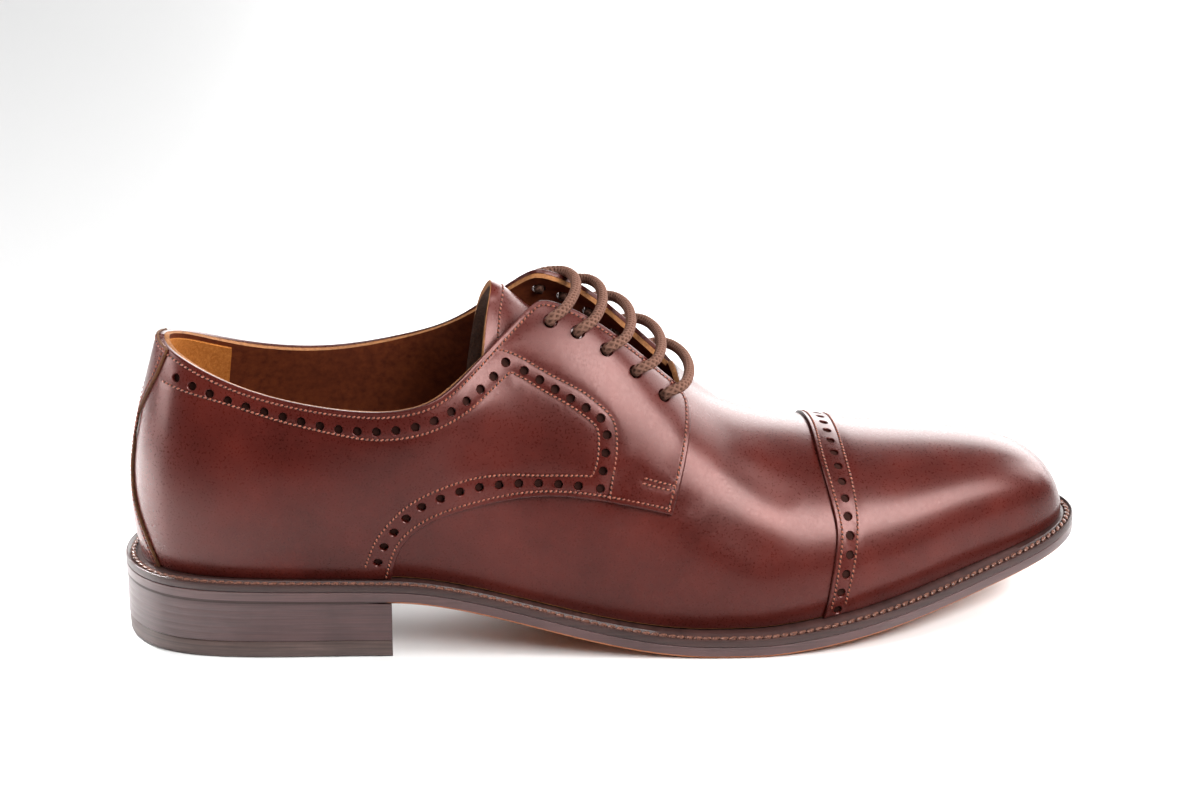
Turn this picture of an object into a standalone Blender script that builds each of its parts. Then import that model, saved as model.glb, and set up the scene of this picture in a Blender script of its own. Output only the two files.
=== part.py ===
import math

import bpy
import bmesh
import numpy as np
from mathutils import Vector

# Driving sizes in metres. The toe points along +X, the outer (lateral) side is -Y, the floor is z = 0.
sole_length = 0.305
ball_width = 0.108
heel_height = 0.0178
heel_length = 0.081
toe_spring = 0.0170
last_height = 0.100

sole_thickness = 0.0038
welt_thickness = 0.0022
welt_depth = 0.0075
lift_thickness = 0.0055
heel_inset = 0.0008
insole_thickness = 0.0030
upper_wall = 0.0016
overlay_thickness = 0.0012
strap_thickness = 0.0010
tongue_thickness = 0.0020
fit_gap = 0.0003

facing_gap = 0.027
eyelet_diameter = 0.0050
eyelet_setback_top = 0.0070
eyelet_setback_low = 0.0100
lace_diameter = 0.0030
lace_count = 5
lace_arch = 0.0115
lace_forward = 0.0032
lace_sink = 0.0024
lace_inside = 0.0022
lace_rise = 0.0041
lace_squareness = 0.30
tongue_slack = 0.0016
tongue_half_width = 0.027
seat_rise = 0.0012
eyelet_hole_depth = 0.010

# Shares of the sole length where its underside lies flat on the floor, and the shape of its curve
# behind and in front of them.
ball_start = 0.595
ball_end = 0.640
arch_fall = 0.90
toe_rise = 1.30

# Sole outline. Rows run from the back of the heel to the tip of the toe, about evenly along the edge.
# along is a share of the sole length. lateral and medial are shares of the ball width, measured from
# the line through the back of the heel. reach is how far the welt stands out past the foot of the
# upper, as a share of the ball width.
outline_rows = [
    dict(along=0.000, lateral=0.000, medial=0.000, reach=0.070),
    dict(along=0.034, lateral=0.205, medial=0.225, reach=0.066),
    dict(along=0.118, lateral=0.290, medial=0.328, reach=0.060),
    dict(along=0.215, lateral=0.318, medial=0.335, reach=0.056),
    dict(along=0.315, lateral=0.350, medial=0.300, reach=0.056),
    dict(along=0.415, lateral=0.388, medial=0.275, reach=0.060),
    dict(along=0.515, lateral=0.430, medial=0.305, reach=0.068),
    dict(along=0.615, lateral=0.465, medial=0.405, reach=0.076),
    dict(along=0.710, lateral=0.457, medial=0.505, reach=0.084),
    dict(along=0.800, lateral=0.387, medial=0.520, reach=0.086),
    dict(along=0.888, lateral=0.268, medial=0.448, reach=0.080),
    dict(along=0.962, lateral=0.145, medial=0.312, reach=0.062),
    dict(along=1.000, lateral=-0.055, medial=0.055, reach=0.047),
]

# Sections of the last, one for each row of the outline but the tip, where the last closes. A section
# runs from the foot of the upper to the top line. top_along is a share of the sole length, top_across
# of the ball width towards that side, and top_height of the last's height. low_out and low_up place
# the lower handle of the section's curve, high_out and high_drop the upper one, as shares of the
# last's height.
lateral_sections = [
    dict(top_along=0.056, top_across=0.000, top_height=1.040,
         low_out=0.070, low_up=0.300, high_out=0.072, high_drop=0.300),
    dict(top_along=0.075, top_across=0.095, top_height=1.020,
         low_out=0.080, low_up=0.300, high_out=0.090, high_drop=0.300),
    dict(top_along=0.130, top_across=0.160, top_height=0.970,
         low_out=0.090, low_up=0.300, high_out=0.090, high_drop=0.300),
    dict(top_along=0.221, top_across=0.230, top_height=0.930,
         low_out=0.085, low_up=0.300, high_out=0.080, high_drop=0.280),
    dict(top_along=0.313, top_across=0.235, top_height=1.020,
         low_out=0.070, low_up=0.340, high_out=0.120, high_drop=0.300),
    dict(top_along=0.375, top_across=0.000, top_height=1.125,
         low_out=0.050, low_up=0.380, high_out=0.240, high_drop=0.060),
    dict(top_along=0.477, top_across=-0.010, top_height=1.055,
         low_out=0.060, low_up=0.360, high_out=0.250, high_drop=0.030),
    dict(top_along=0.598, top_across=-0.020, top_height=0.705,
         low_out=0.070, low_up=0.280, high_out=0.280, high_drop=0.000),
    dict(top_along=0.703, top_across=-0.035, top_height=0.570,
         low_out=0.075, low_up=0.240, high_out=0.290, high_drop=0.000),
    dict(top_along=0.795, top_across=-0.055, top_height=0.512,
         low_out=0.060, low_up=0.210, high_out=0.270, high_drop=0.000),
    dict(top_along=0.884, top_across=-0.066, top_height=0.476,
         low_out=0.035, low_up=0.190, high_out=0.210, high_drop=0.000),
    dict(top_along=0.956, top_across=-0.070, top_height=0.400,
         low_out=0.012, low_up=0.120, high_out=0.130, high_drop=0.000),
]
medial_sections = [
    dict(top_along=0.056, top_across=0.000, top_height=1.040,
         low_out=0.070, low_up=0.300, high_out=0.072, high_drop=0.300),
    dict(top_along=0.075, top_across=0.100, top_height=1.020,
         low_out=0.080, low_up=0.300, high_out=0.090, high_drop=0.300),
    dict(top_along=0.130, top_across=0.165, top_height=0.970,
         low_out=0.090, low_up=0.300, high_out=0.090, high_drop=0.300),
    dict(top_along=0.221, top_across=0.228, top_height=0.930,
         low_out=0.080, low_up=0.300, high_out=0.080, high_drop=0.280),
    dict(top_along=0.313, top_across=0.240, top_height=1.030,
         low_out=0.075, low_up=0.340, high_out=0.110, high_drop=0.300),
    dict(top_along=0.375, top_across=0.000, top_height=1.125,
         low_out=0.080, low_up=0.380, high_out=0.280, high_drop=0.025),
    dict(top_along=0.477, top_across=0.010, top_height=1.055,
         low_out=0.090, low_up=0.360, high_out=0.295, high_drop=0.000),
    dict(top_along=0.598, top_across=0.020, top_height=0.705,
         low_out=0.090, low_up=0.280, high_out=0.260, high_drop=0.000),
    dict(top_along=0.703, top_across=0.035, top_height=0.570,
         low_out=0.075, low_up=0.240, high_out=0.270, high_drop=0.000),
    dict(top_along=0.795, top_across=0.055, top_height=0.512,
         low_out=0.060, low_up=0.210, high_out=0.260, high_drop=0.000),
    dict(top_along=0.884, top_across=0.066, top_height=0.476,
         low_out=0.040, low_up=0.190, high_out=0.210, high_drop=0.000),
    dict(top_along=0.956, top_across=0.070, top_height=0.400,
         low_out=0.018, low_up=0.120, high_out=0.130, high_drop=0.000),
]

# Height of the collar above the floor in the same rows, as a share of the last's height. Past the
# facing's top corner the row only has to lie above the facing.
collar_rows = [0.962, 0.925, 0.850, 0.798, 0.828, 0.970, 1.180]

# Lower edge of the quarter in side view, from the front of the facing back to the welt, and the same
# for the toe cap and the back strap. along is a share of the sole length, up of the last's height.
facing_front = [
    dict(along=0.577, up=0.900),
    dict(along=0.577, up=0.740),
    dict(along=0.571, up=0.640),
    dict(along=0.549, up=0.446),
]
quarter_hem = [
    dict(along=0.549, up=0.446),
    dict(along=0.490, up=0.489),
    dict(along=0.412, up=0.513),
    dict(along=0.334, up=0.478),
    dict(along=0.296, up=0.425),
    dict(along=0.275, up=0.345),
    dict(along=0.264, up=0.200),
]
cap_edge = [
    dict(along=0.705, up=0.000),
    dict(along=0.717, up=0.250),
    dict(along=0.721, up=0.450),
    dict(along=0.725, up=0.900),
]
strap_edge = [
    dict(along=0.030, up=0.200),
    dict(along=0.018, up=0.400),
    dict(along=0.020, up=0.650),
    dict(along=0.034, up=0.850),
    dict(along=0.058, up=1.100),
]

# Places are counted in rows of the outline, from 0 at the back to the last row at the tip.
row_count = len(outline_rows) - 1
cell = 0.25
square_first = 4.0
square_rows = 1.5
facing_row = 4.6
ridge_row = 5.0
collar_last = 5.9
collar_blend = 0.02
throat_row = 6.75
eyelet_first = 5.56
eyelet_last = 6.52
tongue_top = 5.12
tongue_end = 7.4
tongue_slant = 0.45
tongue_slant_row = 6.2
tongue_seat_row = 7.2
overlay_row = 8.0
strap_row = 1.5
side_levels = np.array([0.0, 0.13, 0.28, 0.44, 0.60, 0.76, 0.89, 1.0])
top_levels = np.array([0.5, 1.0])
search_levels = np.linspace(0.3, 1.0, 141)

sole_start = -sole_length / 2
breast_share = heel_length / sole_length


def column(rows, name):
    return [row[name] for row in rows]


def natural_spline(values):
    """A smooth curve through values at 0, 1, 2 and on, as second derivatives for each knot."""
    values = np.asarray(values, dtype=float)
    count = len(values)
    matrix = np.eye(count)
    right = np.zeros(count)
    for i in range(1, count - 1):
        matrix[i, i - 1] = 1.0
        matrix[i, i] = 4.0
        matrix[i, i + 1] = 1.0
        right[i] = 6.0 * (values[i - 1] - 2.0 * values[i] + values[i + 1])
    return values, np.linalg.solve(matrix, right)


def evaluate_spline(spline, place):
    values, bends = spline
    place = np.clip(place, 0.0, len(values) - 1.0)
    cell = np.minimum(place.astype(int), len(values) - 2)
    right = place - cell
    left = 1.0 - right
    return (left * values[cell] + right * values[cell + 1]
            + ((left ** 3 - left) * bends[cell] + (right ** 3 - right) * bends[cell + 1]) / 6.0)


def row_curve(values, toe_sign, heel_values=None):
    """A curve over the rows. It runs on past the heel as heel_values (itself, if not given), and past
    the toe as its mirror image (toe_sign 1) or turned half round the tip (toe_sign -1)."""
    values = list(values)
    before = list(heel_values if heel_values is not None else values)[1:5][::-1]
    tip = values[-1]
    if toe_sign > 0:
        after = values[-5:-1][::-1]
    else:
        after = [2.0 * tip - value for value in values[-5:-1][::-1]]
    spline = natural_spline(before + values + after)
    return lambda place: evaluate_spline(spline, np.asarray(place, dtype=float) + len(before))


def outline_curves(name, sign):
    """Signed y of one side's outline. Past the heel and the toe it runs on into the other side."""
    other = "medial" if name == "lateral" else "lateral"
    near = [sign * ball_width * row[name] for row in outline_rows]
    far = [-sign * ball_width * row[other] for row in outline_rows]
    near[-1] = far[-1] = ball_width * outline_rows[-1]["medial"]
    spline = natural_spline(far[1:5][::-1] + near + far[-5:-1][::-1])
    return lambda place: evaluate_spline(spline, np.asarray(place, dtype=float) + 4)


along_curve = row_curve(column(outline_rows, "along"), 1)
reach_curve = row_curve(column(outline_rows, "reach"), 1)
across_curves = {-1: outline_curves("lateral", -1), 1: outline_curves("medial", 1)}

places = np.arange(0.0, row_count + cell / 2, cell)
centre_shift = -(across_curves[-1](places).min() + across_curves[1](places).max()) / 2


def sole_height(x):
    """Height of the outsole's lower face over the floor."""
    share = (np.asarray(x, dtype=float) - sole_start) / sole_length
    fall = np.clip((share - breast_share) / (ball_start - breast_share), 0.0, 1.0)
    heel_part = heel_height * (0.5 + 0.5 * np.cos(math.pi * fall ** arch_fall))
    seat = seat_rise * np.clip(1.0 - share / breast_share, 0.0, 1.0)
    rise = np.clip((share - ball_end) / (1.0 - ball_end), 0.0, 1.0)
    return heel_part + seat + toe_spring * rise ** toe_rise


def outline_point(side, place, inset=0.0):
    """Plan points of the sole's edge, moved in by inset, with the outward direction there."""
    place = np.asarray(place, dtype=float)
    step = 0.01
    across = across_curves[side]

    def at(where):
        folded = np.where(where < 0, -where, np.where(where > row_count, 2 * row_count - where, where))
        return sole_start + sole_length * along_curve(folded), across(where) + centre_shift

    x, y = at(place)
    x_next, y_next = at(place + step)
    x_last, y_last = at(place - step)
    direction = np.stack([x_next - x_last, y_next - y_last], axis=-1)
    direction /= np.linalg.norm(direction, axis=-1, keepdims=True)
    outward = np.stack([-side * direction[..., 1], side * direction[..., 0]], axis=-1)
    return x - outward[..., 0] * inset, y - outward[..., 1] * inset, outward


def welt_top(x):
    return sole_height(x) + sole_thickness + fit_gap + welt_thickness


def upper_foot(side, place):
    place = np.asarray(place, dtype=float)
    x, y, outward = outline_point(side, place, ball_width * reach_curve(place))
    return np.stack([x, y, welt_top(x) + fit_gap], axis=-1), outward


tip_foot = upper_foot(-1, np.array([float(row_count)]))[0][0]


def section_curves(side, rows, other_rows):
    curves = {}
    x_top = [sole_start + sole_length * row["top_along"] for row in rows]
    curves["x"] = row_curve(x_top + [tip_foot[0]], 1)
    y_near = [centre_shift + side * ball_width * row["top_across"] for row in rows] + [tip_foot[1]]
    y_far = [centre_shift - side * ball_width * row["top_across"] for row in other_rows] + [tip_foot[1]]
    curves["y"] = row_curve(y_near, 1, y_far)
    z_top = [last_height * row["top_height"] for row in rows]
    curves["z"] = row_curve(z_top + [tip_foot[2]], -1)
    for name in ("low_out", "low_up", "high_out", "high_drop"):
        lengths = [last_height * row[name] for row in rows]
        curves[name] = row_curve(lengths + [0.0], -1)
    return curves


section_sides = {
    -1: section_curves(-1, lateral_sections, medial_sections),
    1: section_curves(1, medial_sections, lateral_sections),
}


def last_point(side, place, up):
    """A point of the last's surface. place runs over the rows, up from the foot (0) to the top (1)."""
    place = np.asarray(place, dtype=float)
    up = np.asarray(up, dtype=float)[..., None]
    curves = section_sides[side]
    foot, outward = upper_foot(side, place)
    top = np.stack([curves["x"](place), curves["y"](place), curves["z"](place)], axis=-1)
    out = np.concatenate([outward, np.zeros(outward.shape[:-1] + (1,))], axis=-1)
    across = np.zeros_like(out)
    across[..., 1] = side
    squareness = np.clip((place - square_first) / square_rows, 0.0, 1.0)[..., None]
    squareness = squareness * squareness * (3.0 - 2.0 * squareness)
    top_out = out * (1.0 - squareness) + across * squareness
    lift = np.array([0.0, 0.0, 1.0])
    low = foot + out * curves["low_out"](place)[..., None] + lift * curves["low_up"](place)[..., None]
    high = top + top_out * curves["high_out"](place)[..., None] - lift * curves["high_drop"](place)[..., None]
    down = 1.0 - up
    return down ** 3 * foot + 3 * down * down * up * low + 3 * down * up * up * high + up ** 3 * top


def last_normal(side, place, up):
    step = 0.012
    place = np.asarray(place, dtype=float)
    up = np.asarray(up, dtype=float)
    place = np.minimum(place, row_count - 0.03)
    low = np.maximum(up - step, 0.0)
    high = np.minimum(up + step, 1.0)
    run = last_point(side, place + step, up) - last_point(side, np.maximum(place - step, 0.0), up)
    rise = last_point(side, place, high) - last_point(side, place, low)
    normal = np.cross(run, rise) * -side
    normal /= np.linalg.norm(normal, axis=-1, keepdims=True)
    return normal


def shell_point(side, place, up, offset):
    """A point off the last's surface, kept true where the two sides meet at the back and on the ridge."""
    normal = last_normal(side, place, up)
    place = np.asarray(place, dtype=float) + np.zeros(normal.shape[:-1])
    up = np.asarray(up, dtype=float) + np.zeros(normal.shape[:-1])
    meets = (place < 1e-6) | ((up > 1.0 - 1e-6) & (place > ridge_row))
    normal[..., 1] = np.where(meets, 0.0, normal[..., 1])
    at_tip = place > row_count - 1e-6
    normal = np.where(at_tip[..., None], np.array([1.0, 0.0, 0.0]), normal)
    normal /= np.linalg.norm(normal, axis=-1, keepdims=True)
    return last_point(side, place, up) + normal * offset


collar_curve = natural_spline(collar_rows)


def collar_up(side, place):
    """Where the collar and the facing's edge cut a section, for one place."""
    levels = search_levels
    points = last_point(side, np.full_like(levels, place), levels)
    ridge = section_sides[side]["y"](np.array([max(place, ridge_row)]))[0]
    if place < collar_last:
        height = last_height * float(evaluate_spline(collar_curve, np.array([place]))[0])
        by_height = np.interp(height, np.maximum.accumulate(points[:, 2]), levels)
    else:
        by_height = 1.0
    if place < facing_row:
        return by_height
    width = side * (points[:, 1] - ridge)
    by_width = np.interp(-facing_gap / 2, np.maximum.accumulate(-width), levels)
    if place < collar_last:
        nearness = math.exp(-by_height / collar_blend) + math.exp(-by_width / collar_blend)
        return -collar_blend * math.log(nearness)
    return by_width


def edge_up(side, place):
    """The collar and facing line, run on at one level past the front of the throat."""
    return collar_up(side, min(place, throat_row))


edge_table = {side: np.array([edge_up(side, place) for place in places]) for side in (-1, 1)}


def new_object(name, bm, colour, roughness):
    bmesh.ops.remove_doubles(bm, verts=bm.verts, dist=1e-7)
    bmesh.ops.recalc_face_normals(bm, faces=bm.faces)
    mesh = bpy.data.meshes.new(name)
    bm.to_mesh(mesh)
    bm.free()
    mesh.shade_smooth()
    mesh.set_sharp_from_angle(angle=math.radians(40))
    item = bpy.data.objects.new(name, mesh)
    bpy.context.scene.collection.objects.link(item)
    if colour is not None:
        item.data.materials.append(plain_material(name, colour, roughness))
    return item


def plain_material(name, colour, roughness):
    material = bpy.data.materials.new(name)
    material.use_nodes = True
    shader = material.node_tree.nodes["Principled BSDF"]
    shader.inputs["Base Color"].default_value = (*colour, 1.0)
    shader.inputs["Roughness"].default_value = roughness
    shader.inputs["Metallic"].default_value = 0.0
    return material


def add_walls(bm, pairs, closed=False):
    """Quads between an outer and an inner row of points."""
    count = len(pairs) if closed else len(pairs) - 1
    for i in range(count):
        outer, inner = pairs[i]
        outer_next, inner_next = pairs[(i + 1) % len(pairs)]
        corners = []
        for vert in (outer, outer_next, inner_next, inner):
            if vert not in corners:
                corners.append(vert)
        if len(corners) > 2:
            bm.faces.new(corners)


def add_sheet(bm, points):
    """Triangles over a grid of points, one row for each place. All layers split their cells the same
    way, so that a slab keeps its gap to the layer under it."""
    for row, row_next in zip(points[:-1], points[1:]):
        for j in range(len(row) - 1):
            low, high = row[j], row_next[j + 1]
            for third in (row_next[j], row[j + 1]):
                if third not in (low, high) and low is not high:
                    bm.faces.new((low, third, high))


def levels_at(side, index, whole):
    """Levels of one section, up to the collar or facing, or over the top where whole is set."""
    edge = edge_table[side][index]
    low = side_levels * edge
    if not whole:
        return low
    return np.concatenate([low, edge + (1.0 - edge) * top_levels])


def grid_layer(bm, first, last, offset, whole_from, split_back=0.0):
    """The verts of one layer, side by side, with the back seam, the ridge and the tip shared."""
    layer = {}
    for side in (-1, 1):
        columns = []
        for index in range(first, last + 1):
            levels = levels_at(side, index, index >= whole_from)
            points = shell_point(side, np.full(len(levels), places[index]), levels, offset)
            points[0, 2] = welt_top(points[0, 0]) + fit_gap
            if index == 0 and split_back:
                points[:, 1] += side * split_back
            columns.append([bm.verts.new(point) for point in points])
        layer[side] = columns
    for index in range(first, last + 1):
        near = layer[-1][index - first]
        far = layer[1][index - first]
        if index == 0 and not split_back:
            layer[1][0] = near
        elif index >= whole_from:
            bm.verts.remove(far[-1])
            far[-1] = near[-1]
        if index == len(places) - 1:
            for column in (near, layer[1][index - first]):
                for vert in set(column):
                    if vert is not near[0] and vert.is_valid:
                        bm.verts.remove(vert)
            layer[-1][index - first] = [near[0]] * len(near)
            layer[1][index - first] = [near[0]] * len(near)
    return layer


def drop_loose(bm):
    bmesh.ops.delete(bm, geom=[vert for vert in bm.verts if not vert.link_faces], context="VERTS")


def build_upper():
    """Vamp and lining in one hollow shell, open at the collar, at the throat and underneath."""
    bm = bmesh.new()
    whole_from = int(round(throat_row / cell))
    last = len(places) - 1
    outer = grid_layer(bm, 0, last, 0.0, whole_from)
    inner = grid_layer(bm, 0, last, -upper_wall, whole_from)
    low_count = len(side_levels)
    for layer in (outer, inner):
        for side in (-1, 1):
            columns = layer[side]
            add_sheet(bm, [column[:low_count] for column in columns])
            add_sheet(bm, [column[low_count - 1:] for column in columns[whole_from:]])
    for side in (-1, 1):
        add_walls(bm, [(outer[side][i][0], inner[side][i][0]) for i in range(last + 1)])
        edge = low_count - 1
        add_walls(bm, [(outer[side][i][edge], inner[side][i][edge]) for i in range(whole_from + 1)])
        add_walls(bm, list(zip(outer[side][whole_from][edge:], inner[side][whole_from][edge:])))
    drop_loose(bm)
    return new_object("upper", bm, (0.09, 0.018, 0.014), 0.32)


def build_overlay(name, sides, first, last, low, thickness, whole_from, split_back=0.0):
    """A slab off the last between two places, made on the upper's own grid."""
    bm = bmesh.new()
    outer = grid_layer(bm, first, last, low + thickness, whole_from, split_back)
    inner = grid_layer(bm, first, last, low, whole_from, split_back)
    for side in sides:
        for layer in (outer, inner):
            add_sheet(bm, layer[side])
        count = len(outer[side])
        add_walls(bm, [(outer[side][i][0], inner[side][i][0]) for i in range(count)])
        if whole_from > last:
            add_walls(bm, [(outer[side][i][-1], inner[side][i][-1]) for i in range(count)])
        if first > 0 or split_back:
            add_walls(bm, list(zip(outer[side][0], inner[side][0])))
        if last < len(places) - 1:
            add_walls(bm, list(zip(outer[side][-1], inner[side][-1])))
    drop_loose(bm)
    return new_object(name, bm, (0.10, 0.020, 0.016), 0.30)


def side_curve(rows, steps=5):
    """Points (x, z) of a smooth line through side-view rows."""
    along = natural_spline(column(rows, "along"))
    up = natural_spline(column(rows, "up"))
    where = np.linspace(0, len(rows) - 1, steps * (len(rows) - 1) + 1)
    x = sole_start + sole_length * evaluate_spline(along, where)
    return list(zip(x, last_height * evaluate_spline(up, where)))


def side_cutter(name, outline, depth):
    """A closed outline in side view, run through from y = depth[0] to depth[1]."""
    bm = bmesh.new()
    near = [bm.verts.new((x, depth[0], z)) for x, z in outline]
    face = bm.faces.new(near)
    pushed = bmesh.ops.extrude_face_region(bm, geom=[face])
    moved = [item for item in pushed["geom"] if isinstance(item, bmesh.types.BMVert)]
    bmesh.ops.translate(bm, verts=moved, vec=(0.0, depth[1] - depth[0], 0.0))
    item = new_object(name, bm, None, 0.5)
    item.hide_render = True
    item.display_type = "WIRE"
    return item


def cut(item, tool, operation):
    modifier = item.modifiers.new(tool.name, "BOOLEAN")
    modifier.operation = operation
    modifier.solver = "EXACT"
    modifier.object = tool


def cylinder_cutter(name, spots, radius, length):
    """Cylinders on a list of (centre, direction) spots, in one guide object."""
    bm = bmesh.new()
    for centre, direction in spots:
        turn = Vector(direction).to_track_quat("Z", "Y").to_matrix().to_4x4()
        turn.translation = Vector(centre)
        bmesh.ops.create_cone(bm, cap_ends=True, segments=14, radius1=radius, radius2=radius,
                              depth=length, matrix=turn)
    item = new_object(name, bm, None, 0.5)
    item.hide_render = True
    item.display_type = "WIRE"
    return item


def eyelet_spots(side):
    """Centre and outward direction of each eyelet, set back from the facing's edge."""
    spots = []
    steps = zip(np.linspace(eyelet_first, eyelet_last, lace_count),
                np.linspace(eyelet_setback_top, eyelet_setback_low, lace_count))
    for place, setback in steps:
        edge = edge_up(side, place)
        levels = np.linspace(edge, edge - 0.4, 81)
        points = last_point(side, np.full_like(levels, place), levels)
        run = np.concatenate([[0.0], np.cumsum(np.linalg.norm(np.diff(points, axis=0), axis=1))])
        level = np.interp(setback, run, levels)
        at = (np.array([place]), np.array([level]))
        spots.append((last_point(side, *at)[0], last_normal(side, *at)[0]))
    return spots


def build_tongue():
    """The tongue follows the inside of the vamp and the facings, and its end stands past the collar."""
    bm = bmesh.new()
    rows = np.linspace(tongue_top, tongue_end, 11)
    layers = []
    for extra in (0.0, tongue_thickness):
        layer = []
        for place in rows:
            slack = fit_gap + tongue_slack * float(np.clip(2.0 * (tongue_seat_row - place), 0.0, 1.0))
            offset = -(upper_wall + slack + extra)
            column_verts = []
            for side in (-1, 1):
                levels = search_levels
                points = last_point(side, np.full_like(levels, place), levels)
                width = side * (points[:, 1] - points[-1, 1])
                start = np.interp(-tongue_half_width, np.maximum.accumulate(-width), levels)
                ups = np.linspace(start, 1.0, 6)
                slant_share = (tongue_slant_row - place) / (tongue_slant_row - tongue_top)
                back = tongue_slant * float(np.clip(slant_share, 0.0, 1.0))
                where = place - back * (1.0 - ups) / (1.0 - start)
                strip = [Vector(p) for p in shell_point(side, where, ups, offset)]
                column_verts.append(strip)
            line = column_verts[0] + column_verts[1][::-1][1:]
            layer.append([bm.verts.new(point) for point in line])
        layers.append(layer)
    outer, inner = layers
    add_sheet(bm, outer)
    add_sheet(bm, inner)
    add_walls(bm, list(zip(outer[0], inner[0])))
    add_walls(bm, list(zip(outer[-1], inner[-1])))
    add_walls(bm, [(outer[i][0], inner[i][0]) for i in range(len(rows))])
    add_walls(bm, [(outer[i][-1], inner[i][-1]) for i in range(len(rows))])
    return new_object("tongue", bm, (0.11, 0.024, 0.020), 0.34)


def plate_lines(rows, inset, reach_share=0.0, front=None):
    """Lateral and medial plan points from the back of the heel to the toe, or to x = front."""
    lines = {}
    for side in (-1, 1):
        where = rows
        if front is not None:
            end = np.interp(front, outline_point(side, rows, inset)[0], rows)
            where = np.append(rows[rows < end - cell / 10], end)
        x, y, outward = outline_point(side, where, inset + reach_share * ball_width * reach_curve(where))
        lines[side] = np.stack([x, y], axis=-1)
        if front is not None:
            lines[side][-1, 0] = front
    return lines


def add_plate(bm, lines, bottom, top):
    """A plate over the strips between the lateral and medial lines."""
    closed = np.allclose(lines[-1][-1], lines[1][-1], atol=1e-5)
    rings = []
    for height in (bottom, top):
        near = []
        far = []
        for i, (a, b) in enumerate(zip(lines[-1], lines[1])):
            near.append(bm.verts.new((a[0], a[1], height(a[0]))))
            if i == 0 or (closed and i == len(lines[-1]) - 1):
                far.append(near[-1])
            else:
                far.append(bm.verts.new((b[0], b[1], height(b[0]))))
        rings.append((near, far))
    for near, far in rings:
        add_sheet(bm, [[a, b] for a, b in zip(near, far)])
    for k in (0, 1):
        add_walls(bm, list(zip(rings[0][k], rings[1][k])))
    if not closed:
        bm.faces.new([rings[0][0][-1], rings[0][1][-1], rings[1][1][-1], rings[1][0][-1]])


def build_plate(name, lines, bottom, top, colour, roughness):
    bm = bmesh.new()
    add_plate(bm, lines, bottom, top)
    return new_object(name, bm, colour, roughness)


def build_welt():
    """The welt runs all the way round, from the sole's edge to well under the upper's foot."""
    bm = bmesh.new()
    rings = []
    for inset, share, lift in ((0.0, 0.0, fit_gap), (0.0, 0.0, fit_gap + welt_thickness),
                               (welt_depth, 1.0, fit_gap + welt_thickness), (welt_depth, 1.0, fit_gap)):
        lines = plate_lines(places, inset, share)
        loop = np.concatenate([lines[-1], lines[1][1:-1][::-1]])
        rings.append([bm.verts.new((x, y, sole_height(x) + sole_thickness + lift)) for x, y in loop])
    for ring, ring_next in zip(rings, rings[1:] + rings[:1]):
        add_walls(bm, list(zip(ring, ring_next)), closed=True)
    return new_object("welt", bm, (0.045, 0.022, 0.016), 0.5)


def build_insole():
    """The insole lies inside the upper, and its filled underside drops inside the welt to the outsole."""
    bm = bmesh.new()
    coarse = places[::2]
    wide = plate_lines(coarse, upper_wall + 2 * fit_gap, 1.0)
    narrow = plate_lines(coarse, welt_depth + fit_gap, 1.0)
    step = 2 * fit_gap + welt_thickness
    rings = []
    for lines, lift in ((narrow, fit_gap), (narrow, step), (wide, step), (wide, step + insole_thickness)):
        loop = np.concatenate([lines[-1], lines[1][1:-1][::-1]])
        rings.append([bm.verts.new((x, y, sole_height(x) + sole_thickness + lift)) for x, y in loop])
    for ring, ring_next in zip(rings[:-1], rings[1:]):
        add_walls(bm, list(zip(ring, ring_next)), closed=True)
    count = len(coarse)
    for ring in (rings[0], rings[-1]):
        near = ring[:count]
        far = [ring[0]] + ring[count:][::-1] + [ring[count - 1]]
        add_sheet(bm, [[a, b] for a, b in zip(near, far)])
    return new_object("insole", bm, (0.20, 0.09, 0.035), 0.7)


def build_lace(number, near, far):
    """One straight bar, through both eyelets and arched over the throat."""
    (a, a_out), (b, b_out) = near, far
    middle_out = a_out + b_out
    middle_out = middle_out / np.linalg.norm(middle_out)
    points = [a - a_out * lace_inside, a + a_out * overlay_thickness]
    a = a + a_out * lace_rise
    b = b + b_out * lace_rise
    lean = np.array([lace_forward, 0.0, -lace_sink])
    middle_share = (1.0 - lace_squareness) * middle_out
    a_handle = a + (lace_squareness * a_out + middle_share) * lace_arch + lean
    b_handle = b + (lace_squareness * b_out + middle_share) * lace_arch + lean
    for t in np.linspace(0.0, 1.0, 9):
        s = 1.0 - t
        points.append(s ** 3 * a + 3 * s * s * t * a_handle + 3 * s * t * t * b_handle + t ** 3 * b)
    points.append(b - b_out * (lace_rise - overlay_thickness))
    points.append(b - b_out * (lace_rise + lace_inside))
    curve = bpy.data.curves.new("lace_bar_%d" % number, "CURVE")
    curve.dimensions = "3D"
    curve.bevel_depth = lace_diameter / 2
    curve.bevel_resolution = 2
    curve.use_fill_caps = True
    spline = curve.splines.new("POLY")
    spline.points.add(len(points) - 1)
    for point, place in zip(spline.points, points):
        point.co = (*place, 1.0)
    curve.materials.append(plain_material("lace_bar_%d" % number, (0.12, 0.075, 0.05), 0.8))
    item = bpy.data.objects.new("lace_bar_%d" % number, curve)
    bpy.context.scene.collection.objects.link(item)
    return item


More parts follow.
